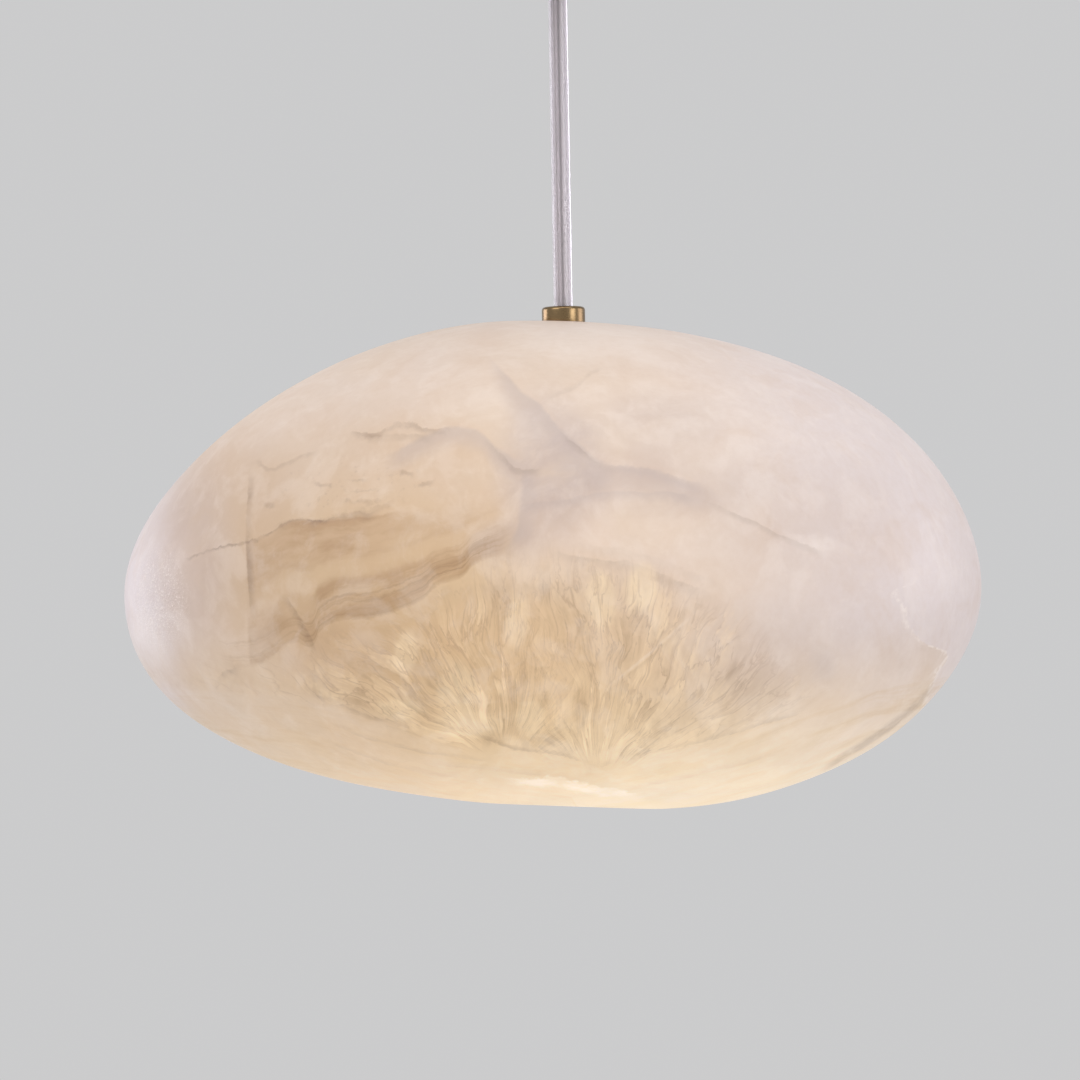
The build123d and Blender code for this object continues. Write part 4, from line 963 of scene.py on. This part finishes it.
    def crystals(self, f: Fabric, colour: Socket) -> tuple[Socket, Socket, Socket]:
        """Lay the crystal fan, its bright plates and the streaks below it over the stone.

        Args:
            f: The stone's fabric.
            colour: The stone's colour.

        Returns:
            The new colour, and the masks of the dark needles and the bright blades.
        """
        g, u = f.g, f.u
        off = g.minus(f.v, g.curve(u, self.fan_foot))
        extent, needles, blades, threads = self.fan(f, off)
        colour = g.mix(g.times(extent, g.ease(u, -30, 50, 0.42, 0.06)), colour, self.honey)
        dark = g.times(extent, needles, g.ease(u, 20, 70, 0.33, 0.2))
        colour = g.mix(dark, colour, self.tan)
        lit = g.times(extent, blades)
        colour = g.mix(g.times(lit, 0.4), colour, self.blade)
        ragged = g.scaled(f.wander[0], 1.4, u)
        plates = g.total([plate.mask(g, ragged, f.v) for plate in self.plates])
        colour = g.mix(g.times(plates, f.front, g.ease(blades, 0.0, 0.5, 0.46, 0.66)), colour, self.blade)
        colour = g.mix(g.times(extent, threads, 0.46), colour, self.brown)
        streaks = g.noise(g.join(g.times(u, 0.02), g.times(off, 0.2), 8), 1, 4, 0.6, 0.3)
        lower = g.ease(off, -1, -4)
        colour = g.mix(g.times(g.ease(streaks, 0.46, 0.62, 0, 0.28), lower), colour, self.honey)
        return g.mix(g.times(g.ease(streaks, 0.58, 0.66, 0, 0.16), lower), colour, self.tan), dark, lit

    def markings(self, f: Fabric, colour: Socket, masks: dict[Tint, Socket], seam: Socket) -> Socket:
        """Lay the flecks, the fine clouds, the seam's pale edge and the veins over the stone.

        Args:
            f: The stone's fabric.
            colour: The stone's colour.
            masks: The veins of each tint.
            seam: Distance beyond the seam at the right end.

        Returns:
            The new colour.
        """
        g = f.g
        flecks = g.ease(g.noise(f.place, 0.4, 4, 0.66), 0.56, 0.7)
        colour = g.mix(g.times(flecks, self.flecked.mask(g, f.u, f.v)), colour, self.brown)
        feather = g.noise(f.bent, 0.085, 6, 0.6, 0.2)
        colour = g.mix(g.ease(feather, 0.44, 0.66, 0, 0.2), colour, self.milk)
        colour = g.mix(g.ease(f.wisps, 0.46, 0.7, 0, 0.16), colour, self.tan)
        colour = g.mix(g.ease(f.fine, 0.3, 0.75, 0, 0.09), colour, self.tan)
        edge = g.times(g.ease(g.math("ABSOLUTE", seam), 0.2, 1.8, 1, 0), g.ease(f.fine, 0.4, 0.6),
                       g.ease(f.v, -90, -98, 0.1, 0.6), f.front)
        colour = g.mix(g.math("MAXIMUM", masks[Tint.MILK], edge), colour, self.milk)
        colour = g.mix(masks[Tint.SLATE], colour, self.slate)
        return g.mix(masks[Tint.BROWN], colour, self.brown)

    def glow(self, f: Fabric, stain: Socket, lit: Socket) -> Socket:
        """The lamp's light in the stone: warm near the lamp, bright at the foot, plain on the hollow's wall.

        Args:
            f: The stone's fabric.
            stain: How much of the light is held back.
            lit: Mask of the bright blades.

        Returns:
            The colour that the stone gives out.
        """
        g = f.g
        length = g.add("VectorMath", operation="LENGTH")
        g.feed(length.inputs[0], g.vector("MULTIPLY", g.vector("SUBTRACT", f.place, self.lamp_place),
                                          self.lamp_stretch))
        near = g.ease(length.outputs["Value"], 45, 165, 1, 0)
        beside = g.math("ABSOLUTE", g.minus(f.x, self.foot_x))
        foot = g.times(g.ease(f.z, -106, -168), g.ease(beside, 130, 25, 0.36, 1))
        light = g.mix(foot, g.mix(near, self.pale_light, self.warm_light), self.foot_light)
        inner = g.add("Attribute", attribute_name=HOLLOW).outputs["Fac"]
        light = g.mix(inner, light, self.hollow_light)
        through = g.scaled(lit, 0.16, g.minus(1, stain))
        strength = g.times(through, g.ease(f.wisps, 0.2, 0.8, 0.9, 1.08), g.scaled(near, 0.5, 0.5))
        return g.mix(1.0, light, g.join(strength, strength, strength), "MULTIPLY")

    def material(self) -> bpy.types.Material:
        """Make the stone's material."""
        material, g, shader = start_material(self.name, Emission_Strength=1.0, Specular_IOR_Level=0.4)
        f = self.fabric(g)
        masks = self.veins(f)
        seam = g.minus(g.scaled(f.wander[1], 0.9, f.u), g.curve(f.v, self.right_seam))
        colour, stain = self.ground(f, g.ease(seam, -0.6, 1.0))
        colour, dark, lit = self.crystals(f, colour)
        colour = self.markings(f, colour, masks, seam)
        rough = self.rough_end_painted_sparkle.mask(g, f.u, f.v)
        grain = g.noise(f.place, 1.1, 3, 0.7)
        # painted sparkle: milk specks on the rough left end stand for glints off its crystals; the bump below uses the
        # same mask
        g.feed(shader["Base Color"], g.mix(g.times(rough, g.ease(grain, 0.54, 0.66, 0, 0.7)), colour, self.milk))
        stain = g.total([g.times(masks[Tint.BROWN], 0.7), g.times(masks[Tint.SLATE], 0.4), dark, stain])
        g.feed(shader["Emission Color"], self.glow(f, stain, lit))
        g.feed(shader["Roughness"], g.scaled(f.wisps, 0.2, 0.36))
        relief = g.scaled(g.times(rough, grain), 3.4, g.times(f.fine, 0.3))
        add_bump(g, shader, g.minus(relief, g.times(masks[Tint.BROWN], 0.5)), 0.0003, 0.5)
        return material


FINISHES: tuple[Any, ...] = (
    Alabaster(),
    TurnedMetal("antique_brass", (0.29, 0.2, 0.105), (0.19, 0.125, 0.062), 0.16, 5.5, 7),
    TurnedMetal("raw_brass", (0.66, 0.52, 0.28), (0.46, 0.34, 0.17), 0.28, 4, 9),
    TurnedMetal("steel", (0.46, 0.47, 0.48), (0.33, 0.34, 0.35), 0.42, 4, 8),
    ClearSheath(),
    CoreInsulation(),
    Moulded("black_rubber", (0.028, 0.028, 0.029), (0.05, 0.049, 0.048), 0.62, 0.3, 0.00005),
    Moulded("white_cover", (0.80, 0.77, 0.72), (0.72, 0.69, 0.64), 0.34),
    Moulded("white_ceramic", (0.84, 0.82, 0.78), (0.74, 0.71, 0.66), 0.3, 0.8, 0.00004),
    Moulded("white_plastic", (0.82, 0.82, 0.80), (0.75, 0.75, 0.73), 0.4, 0.35),
    FrostedGlass(),
    Moulded("led_board", (0.86, 0.74, 0.36), (0.74, 0.60, 0.24), 0.45, 0.7, 0.00003, (0.5, 0.36, 0.14)),
)
MATERIALS: dict[str, bpy.types.Material] = {finish.name: finish.material() for finish in FINISHES}


def settle(piece: bpy.types.Object, body: str | None, slot: str, *nodes: str) -> bpy.types.Object:
    """Give a new piece its finish, its body and the CAD nodes that it stands for.

    Args:
        piece: The piece.
        body: The body that it rides on, or none for a piece that stays in place between two.
        slot: The record's slot that it takes its finish from.
        nodes: The CAD nodes that it replaces.

    Returns:
        The piece.
    """
    piece.data.materials.append(MATERIALS[slot])
    if body:
        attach(piece, body)
    if nodes:
        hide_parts(*nodes)
    LOG.info("%s: %d faces on %s", piece.name, len(piece.data.polygons), body)
    return piece


def dress_nodes() -> None:
    """Give every CAD node the material of its slot."""
    for entry in frame["record"]["subparts"]:
        mesh = frame["nodes"][entry["node"]].data
        mesh.materials.clear()
        mesh.materials.append(MATERIALS[entry["material_slot"]])


# The light


@dataclass
class View:
    """The photograph's camera: level, a little left of the cord and turned by a degree."""

    place: tuple[float, float, float] = (-0.00966, -1.2, -0.2289)
    lens: float = 114.1
    roll: float = 1.043

    def build(self) -> bpy.types.Object:
        """Make the camera and look through it."""
        camera = bpy.data.objects.new("camera", bpy.data.cameras.new("camera"))
        camera.data.lens = self.lens
        camera.data.sensor_width = 36
        camera.location = self.place
        camera.rotation_euler = (math.radians(90), 0, 0)
        camera.rotation_euler.rotate_axis("Z", math.radians(-self.roll))
        bpy.context.scene.collection.objects.link(camera)
        bpy.context.scene.camera = camera
        return camera


@dataclass
class Cord:
    """The clear cord: a sheath with two cores and a suspension wire, hung straight by the shade."""

    radius: float = 3.25
    exit_z: float = -36.4
    foot_z: float = -193.0
    pivot_z: float = -32.4
    tail_top_z: float = -9.5
    tail_foot_z: float = -29.84
    core_radius: float = 1.0
    core_x: float = 1.05
    wire_radius: float = 0.5
    wire_y: float = 1.7875
    neck_share: float = 0.98
    bead_radius: float = 2.21

    def run(self, top: float, foot: float) -> np.ndarray:
        """Points of a straight drop from top to foot."""
        return route([(0, 0, top + (foot - top) * share) for share in (0, 0.1, 0.35, 0.65, 0.9, 1)])

    def strand(self, name: str, top: float, foot: float, radius: float, x: float, y: float, slot: str,
               body: str, *nodes: str) -> bpy.types.Object:
        """One tube of the cord.

        Args:
            name: The piece's name.
            top: Height of its upper end.
            foot: Height of its lower end.
            radius: Its radius.
            x: Its place beside the cord's axis.
            y: Its place behind the cord's axis.
            slot: Its finish.
            body: The body that it rides on.
            nodes: The CAD nodes that it replaces.

        Returns:
            The tube.
        """
        return settle(tube(name, self.run(top, foot), radius, x, y), body, slot, *nodes)

    def neck(self, name: str, top: float, foot: float) -> None:
        """A short stretch of the sheath in the gland, from one body to the next, on neither of them.

        Args:
            name: The piece's name.
            top: Height of its upper end.
            foot: Height of its lower end.
        """
        piece = settle(tube(name, self.run(top, foot), self.radius * self.neck_share, 0, 0), None, "clear_sheath")
        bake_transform(piece)

    def build(self) -> None:
        """Make the cord, its short neck in the gland and its tail above."""
        line = self.run(self.exit_z, self.foot_z)
        sheath = settle(tube("sheath", line, self.radius, 0, 0, 64), "cord", "clear_sheath", "cord_sheath")
        inner = [
            self.strand("copper_core", self.exit_z, self.foot_z, self.core_radius, -self.core_x, 0,
                        "core_insulation", "cord", "cord_cores"),
            self.strand("tinned_core", self.exit_z, self.foot_z, self.core_radius, self.core_x, 0,
                        "core_insulation", "cord"),
            self.strand("suspension_wire", self.exit_z, self.foot_z, self.wire_radius, 0, self.wire_y, "steel",
                        "cord", "cord_wire"),
        ]
        self.neck("upper_neck", self.tail_foot_z, self.pivot_z)
        self.neck("lower_neck", self.pivot_z, self.exit_z)
        self.strand("sheath_tail", self.tail_top_z, self.tail_foot_z, self.radius, 0, 0, "clear_sheath",
                    "ceiling_fitting", "cord_tail")
        self.strand("wire_tail", self.tail_top_z, self.tail_foot_z, self.wire_radius, 0, self.wire_y, "steel",
                    "ceiling_fitting", "tail_wire")
        bead = arc(0, self.pivot_z, self.bead_radius, -90, 90, 25)
        settle(turned("cord_flex", [bead], 48, False), "bend", "clear_sheath", "cord_bend")


@dataclass
class StoneShade:
    """The hollow pebble: level sections of four quarter ellipses, cut by its hole, seat and mouth."""

    left: float = 155.2
    right: float = 143.8
    depth: float = 123.0
    top_z: float = -152.24
    height: float = 170.8
    crown_pole: float = -17.5
    base_pole: float = 28.0
    tips: tuple[float, float, float] = (0.447, 0.443, 0.459)
    upper: Line = ((0.48, 0.44), (0.80, 0.34), (0.56, 0.56))
    lower: Line = ((0.25, 0.92), (0.56, 0.51), (0.66, 0.58))
    wall: float = 12.0
    hollow_base_z: float = -312.04
    hollow_height: float = 146.94
    hollow_shift: float = -1.0
    ceiling_z: float = -167.6
    seat_z: float = -154.1
    seat_radius: float = 7.95
    hole_radius: float = 5.35
    mouth_radius: float = 35.0
    lip: float = 3.0
    carving: float = 0.22
    centre_z: float = -245.0
    around: int = 352
    outer_rows: int = 140
    hollow_rows: int = 74
    table: np.ndarray = field(default_factory=lambda: np.linspace(0, 1, 1601))

    def centre(self) -> np.ndarray:
        """The stone's middle, on the cord's axis."""
        return np.array([0, 0, self.centre_z])

    def outwards(self, points: np.ndarray) -> np.ndarray:
        """Unit vectors from the stone's middle towards points."""
        away = points - self.centre()
        return away / np.linalg.norm(away, axis=-1, keepdims=True)

    def side(self, which: int) -> np.ndarray:
        """Share of its reach that one side has at each share of the height.

        A quarter curve is a cubic from the pole to the tip: with t from 0 to 1 its height is
        (1-t)^3 + 3(1-t)^2 t + 3(1-t) t^2 b and its reach 3(1-t)^2 t a + 3(1-t) t^2 + t^3.

        Args:
            which: 0 for the left side, 1 for the right and 2 for front and back.

        Returns:
            The share of the reach at each entry of the table of heights.
        """
        t = np.linspace(0, 1, 4001)
        tip = self.tips[which]
        shares = []
        for a, b in (self.upper[which], self.lower[which]):
            height = (1 - t) ** 3 + 3 * (1 - t) ** 2 * t + 3 * (1 - t) * t**2 * b
            reach = 3 * (1 - t) ** 2 * t * a + 3 * (1 - t) * t**2 + t**3
            rise = (self.table - tip) / (1 - tip) if not shares else (tip - self.table) / tip
            shares.append(np.interp(rise, height[::-1], reach[::-1]))
        return np.where(self.table >= tip, shares[0], shares[1])

    def inside(self, points: np.ndarray, hollow: bool) -> np.ndarray:
        """Whether points lie within the pebble or its hollow.

        A point is inside its level section when ((x - m) / r)^2 + (y / d)^2 < 1, with the middle m, the
        radius r of its own side and the depth d at its height.

        Args:
            points: Points in millimetres.
            hollow: Whether the hollow is meant.

        Returns:
            True for each point inside.
        """
        inset, shift = (self.wall, self.hollow_shift) if hollow else (0.0, 0.0)
        height = self.hollow_height if hollow else self.height
        base = self.hollow_base_z if hollow else self.top_z - self.height
        rise = (points[..., 2] - base) / height
        poles = [np.where(self.table >= tip, self.crown_pole, self.base_pole) for tip in self.tips[:2]]
        left = poles[0] - self.side(0) * (self.left - inset + poles[0])
        right = poles[1] + self.side(1) * (self.right - inset - poles[1])
        middle = self.base_pole + rise * (self.crown_pole - self.base_pole)
        x = points[..., 0] - shift
        left_x = np.interp(rise, self.table, left)
        right_x = np.interp(rise, self.table, right)
        radius = np.maximum(np.where(x >= middle, right_x - middle, middle - left_x), 1e-6)
        depth = np.maximum(np.interp(rise, self.table, self.side(2) * (self.depth - inset)), 1e-6)
        oval = ((x - middle) / radius) ** 2 + (points[..., 1] / depth) ** 2
        return (oval < 1) & (rise > 0) & (rise < 1)

    def reach(self, start: np.ndarray, direction: np.ndarray, longest: float, hollow: bool) -> np.ndarray:
        """Where rays from inside meet the pebble, by halving the stretch that holds the wall.

        Args:
            start: Each ray's start.
            direction: Each ray's direction.
            longest: A length that surely leaves the pebble.
            hollow: Whether the hollow's wall is meant.

        Returns:
            The points on the wall.
        """
        low = np.zeros(direction.shape[:-1])
        high = np.full(direction.shape[:-1], longest)
        for _ in range(36):
            middle = (low + high) / 2
            within = self.inside(start + middle[..., None] * direction, hollow)
            low = np.where(within, middle, low)
            high = np.where(within, high, middle)
        return start + low[..., None] * direction

    def plumb(self, radius: float, angle: np.ndarray, up: bool, hollow: bool = False) -> np.ndarray:
        """Points of the wall straight above or below a circle about the cord's axis."""
        start = np.stack([radius * np.cos(angle), radius * np.sin(angle), np.full_like(angle, self.centre_z)], axis=-1)
        direction = np.broadcast_to(np.array([0, 0, 1.0 if up else -1.0]), start.shape)
        return self.reach(start, direction, 120, hollow)

    def sweep(self, first: np.ndarray, last: np.ndarray, angle: np.ndarray, rows: int, hollow: bool) -> np.ndarray:
        """Rows of points on the wall between two rings, by rays that turn from one to the other.

        The ray in row k at angle a leaves the middle of the axis at polar angle
        p = p0 + (p1 - p0) k / (rows - 1), along (sin p cos a, sin p sin a, cos p).

        Args:
            first: The first ring.
            last: The last ring.
            angle: The angle of each point of a ring.
            rows: How many rows.
            hollow: Whether the hollow's wall is meant.

        Returns:
            Points shaped (rows, points on a ring, 3).
        """
        centre = self.centre()
        polar = [np.arctan2(np.hypot(*(ring - centre).T[:2]), (ring - centre)[:, 2]) for ring in (first, last)]
        share = np.linspace(0, 1, rows)[:, None]
        turn = polar[0] + (polar[1] - polar[0]) * share
        direction = np.stack([np.sin(turn) * np.cos(angle), np.sin(turn) * np.sin(angle), np.cos(turn)], axis=-1)
        return self.reach(centre, direction, 260, hollow)

    def carve(self, points: np.ndarray) -> np.ndarray:
        """Slight hand-carved unevenness of the outer face.

        Each point moves out from the middle by c times sin(x/23 + y/31) sin(z/19 + x/41) plus
        0.4 sin(x/11 - y/9 + z/13), which fades out towards the crown's seat and the mouth.
        """
        x, y, z = np.moveaxis(points, -1, 0)
        wave = np.sin(x / 23 + y / 31) * np.sin(z / 19 + x / 41) + 0.4 * np.sin(x / 11 - y / 9 + z / 13)
        fade = np.clip((np.hypot(x, y) - 40) / 40, 0, 1)
        return points + self.outwards(points) * (self.carving * wave * fade)[..., None]

    def bend(self, first: np.ndarray, corner: np.ndarray, last: np.ndarray) -> np.ndarray:
        """Rows round a lip: the quadratic curve (1-t)^2 first + 2t(1-t) corner + t^2 last."""
        t = np.linspace(0, 1, 9)[1:-1, None, None]
        return (1 - t) ** 2 * first + 2 * t * (1 - t) * corner + t**2 * last

    def build(self) -> bpy.types.Object:
        """Make the pebble as one wall: seat, outer face, lip, mouth, hollow and the hole in the crown."""
        angle = np.linspace(0, 2 * np.pi, self.around, endpoint=False)

        def ring(radius: float, z: Any) -> np.ndarray:
            """A level circle about the cord's axis."""
            height = np.broadcast_to(z, angle.shape)
            return np.stack([radius * np.cos(angle), radius * np.sin(angle), height], axis=-1)

        rim = self.plumb(self.seat_radius, angle, True)
        wide = self.mouth_radius + self.lip
        foot, corner = self.plumb(wide, angle, False), self.plumb(self.mouth_radius, angle, False)
        inner_foot = self.plumb(wide, angle, False, True)
        inner_corner = self.plumb(self.mouth_radius, angle, False, True)
        rise = np.array([0, 0, self.lip])
        outer = self.carve(self.sweep(rim, foot, angle, self.outer_rows, False))
        top = ring(self.hole_radius, self.ceiling_z)
        hollow = self.sweep(inner_foot, top, angle, self.hollow_rows, True)
        centre = self.centre()
        away = hollow - centre
        lowered = (self.ceiling_z - centre[2]) / np.maximum(away[..., 2:], 1e-6)
        hollow = np.where(hollow[..., 2:] > self.ceiling_z, centre + away * lowered, hollow)
        rings = np.concatenate([
            [ring(self.hole_radius, self.seat_z), ring(self.seat_radius, self.seat_z)], outer,
            self.bend(foot, corner, corner + rise), [corner + rise, inner_corner - rise],
            self.bend(inner_corner - rise, inner_corner, inner_foot), hollow])
        pebble = surface("carved_pebble", rings, True)
        points = np.empty(len(pebble.data.vertices) * 3)
        pebble.data.vertices.foreach_get("co", points)
        points = points.reshape(-1, 3) / MM
        deeper = points + self.outwards(points) * self.wall / 2
        mask = pebble.data.attributes.new(HOLLOW, "FLOAT", "POINT")
        mask.data.foreach_set("value", self.inside(deeper, False).astype(np.float32))
        return settle(pebble, "shade", "alabaster", "stone_shade")


@dataclass
class Fittings:
    """The turned metal, cover and bulb: collar, gland, canopy, lampholder cover and capsule."""

    collar_radius: float = 7.6
    collar_top_z: float = -147.4
    collar_foot_z: float = -153.1
    collar_round: float = 1.2
    guide_radius: float = 3.45
    tube_radius: float = 5.05
    tube_top_z: float = -149.35
    gland_radius: float = 7.557
    gland_top_z: float = -24.4
    gland_foot_z: float = -36.4
    shank_top_z: float = -16.0
    bell_radius: float = 6.157
    bell_top_z: float = -31.31
    canopy_radius: float = 50.0
    canopy_rim_z: float = -0.4
    canopy_foot_z: float = -24.4
    canopy_round: float = 5.0
    canopy_wall: float = 1.2
    clear_hole: float = 5.2

    def collar(self) -> None:
        """Make the collar: a turned ring with a rounded top edge and a guide for the cord."""
        r, top, foot, edge = self.collar_radius, self.collar_top_z, self.collar_foot_z, self.collar_round
        lip = 0.4
        profile = [
            (self.tube_radius, foot), arc(r - 0.25, foot + 0.25, 0.25, -90, 0, 5),
            arc(r - edge, top - edge, edge, 0, 90, 13),
            arc(self.guide_radius + lip, top - lip, lip, 90, 180, 7),
            (self.guide_radius, self.tube_top_z), (self.tube_radius, self.tube_top_z),
        ]
        settle(turned("brushed_collar", profile, 160), "shade", "antique_brass", "collar")

    def gland(self) -> None:
        """Make the gland: a nozzle with rounded edges and a bell mouth."""
        r, top, foot, edge = self.gland_radius, self.gland_top_z, self.gland_foot_z, 0.7
        profile = [
            (self.guide_radius, self.shank_top_z), (5.0, self.shank_top_z), (5.0, top),
            arc(r - edge, top - edge, edge, 90, 0), arc(r - edge, foot + edge, edge, 0, -90),
            (self.bell_radius, foot), (self.guide_radius + 0.9, self.bell_top_z - 1.4),
            (self.guide_radius + 0.25, self.bell_top_z - 0.4), (self.guide_radius, self.bell_top_z + 0.6),
        ]
        settle(turned("cord_gland", profile), "ceiling_fitting", "antique_brass", "gland_body")

    def canopy(self) -> None:
        """Make the canopy: a spun cup with a rounded shoulder."""
        r, rim, foot, edge = self.canopy_radius, self.canopy_rim_z, self.canopy_foot_z, self.canopy_round
        wall = self.canopy_wall
        profile = [
            arc(r - 0.3, rim - 0.3, 0.3, 90, 0, 5), arc(r - edge, foot + edge, edge, 0, -90, 17),
            (self.clear_hole, foot), (self.clear_hole, foot + wall),
            arc(r - edge, foot + edge, edge - wall, -90, 0, 17), (r - wall, rim),
        ]
        settle(turned("spun_canopy", profile, 192), "ceiling_fitting", "antique_brass", "canopy_cup")

    def cover(self) -> None:
        """Make the lampholder's cover: a thin enamelled cup, open below."""
        lo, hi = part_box("holder_cover")
        r, foot, top, wall = hi.x / MM, lo.z / MM, hi.z / MM, 1.0
        profile = [
            (r - wall, foot), arc(r - 0.3, foot + 0.3, 0.3, -90, 0, 5), arc(r - 2, top - 2, 2, 0, 90),
            (self.clear_hole, top), (self.clear_hole, top - wall), arc(r - 2, top - 2, 2 - wall, 90, 0),
        ]
        settle(turned("enamel_cover", profile, 96), "shade", "white_cover", "holder_cover")

    def capsule(self) -> None:
        """Make the bulb's frosted capsule: a glass tube with a domed end."""
        lo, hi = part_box("bulb_capsule")
        r, foot, top = hi.x / MM, lo.z / MM, hi.z / MM
        profile = [(0, top), arc(r - 0.6, top - 0.6, 0.6, 90, 0, 5), arc(0, foot + r, r, 0, -90, 25)]
        settle(turned("frosted_capsule", profile, 72, False), "bulb", "frosted_glass", "bulb_capsule")

    def build(self) -> None:
        """Make each fitting."""
        for make in (self.collar, self.gland, self.canopy, self.cover, self.capsule):
            make()


@dataclass(frozen=True)
class Lamp:
    """A square soft lamp that faces the stone, in metres and watts."""

    name: str
    place: tuple[float, float, float]
    size: float
    power: float
    colour: Colour

    def build(self) -> None:
        """Make the lamp."""
        light = bpy.data.lights.new(self.name, "AREA")
        light.size, light.energy, light.color = self.size, self.power, self.colour
        lamp = bpy.data.objects.new(self.name, light)
        lamp.location = self.place
        lamp.rotation_euler = (Vector(LIT_POINT) - Vector(self.place)).to_track_quat("-Z", "Y").to_euler()
        bpy.context.scene.collection.objects.link(lamp)


@dataclass
class Studio:
    """A pale floor that fades into a pale world, and soft lamps."""

    floor_z: float = -2.4
    floor_radii: tuple[float, ...] = (0.0, 0.4, 1.0, 2.0, 3.2)
    backdrop: Colour = (0.60, 0.60, 0.605)
    ambient: Colour = (0.48, 0.475, 0.485)
    lamps: tuple[Lamp, ...] = (
        Lamp("key", (-1.5, -1.5, 1.1), 1.4, 16.5, (1.0, 0.985, 0.96)),
        Lamp("fill", (1.7, -1.4, 0.1), 1.0, 10, (0.98, 0.98, 1.0)),
        Lamp("top", (0.1, -0.3, 1.3), 1.2, 9, (1.0, 0.98, 0.95)),
        Lamp("low", (0.1, -1.7, -1.4), 1.4, 7, (1.0, 0.98, 0.95)),
        Lamp("left_edge", (-1.55, 0.75, -0.2), 0.9, 9.5, (0.92, 0.89, 1.0)),
        Lamp("right_edge", (1.7, 0.35, 0.0), 0.9, 7, (0.93, 0.90, 1.0)),
    )

    def seen(self, g: Graph) -> Socket:
        """Whether a ray comes from the camera, straight, mirrored or through glass."""
        path = g.add("LightPath").outputs
        return g.total([path["Is Camera Ray"], path["Is Glossy Ray"], path["Is Transmission Ray"]])

    def floor(self) -> None:
        """Make the floor: it takes the shadow below the light and has the backdrop's colour further out."""
        angle = np.linspace(0, 2 * np.pi, 64, endpoint=False)
        radius = np.array(self.floor_radii)[:, None] / MM
        flat = np.full((len(radius), len(angle)), self.floor_z / MM)
        floor = surface("floor", np.stack([radius * np.cos(angle), radius * np.sin(angle), flat], axis=-1))
        material, g, shader = start_material("pale_floor", Roughness=0.8)
        mottle = g.group(MOTTLE, cloud_size=160, grain_size=2).outputs["Cloud"]
        g.feed(shader["Base Color"], g.mix(mottle, (0.74, 0.74, 0.745), (0.71, 0.71, 0.715)))
        x, y, _ = g.split(g.place())
        glow = g.add("Emission")
        glow.inputs["Color"].default_value = (*self.backdrop, 1)
        blend = g.add("MixShader")
        g.feed(blend.inputs[0], g.times(self.seen(g), g.ease(g.span(x, y), 300, 2200, 0.25, 1)))
        g.feed(blend.inputs[1], material.node_tree.nodes["Principled BSDF"].outputs[0])
        g.feed(blend.inputs[2], glow.outputs[0])
        g.feed(material.node_tree.nodes["Material Output"].inputs["Surface"], blend.outputs[0])
        floor.data.materials.append(material)

    def build(self) -> None:
        """Set the floor, the world and the lamps."""
        self.floor()
        world = bpy.data.worlds.new("studio")
        bpy.context.scene.world = world
        world.use_nodes = True
        g = Graph(world.node_tree)
        sky = world.node_tree.nodes["Background"].inputs
        g.feed(sky["Color"], g.mix(self.seen(g), self.ambient, self.backdrop))
        sky["Strength"].default_value = 1
        for lamp in self.lamps:
            lamp.build()
        bpy.context.scene.view_settings.view_transform = "Standard"


def main() -> None:
    """Build the light from the camera and the cord outwards."""
    logging.basicConfig(level=logging.INFO, format="%(name)s: %(message)s")
    View().build()
    dress_nodes()
    Cord().build()
    StoneShade().build()
    Fittings().build()
    Studio().build()


if __name__ == "__main__":
    main()
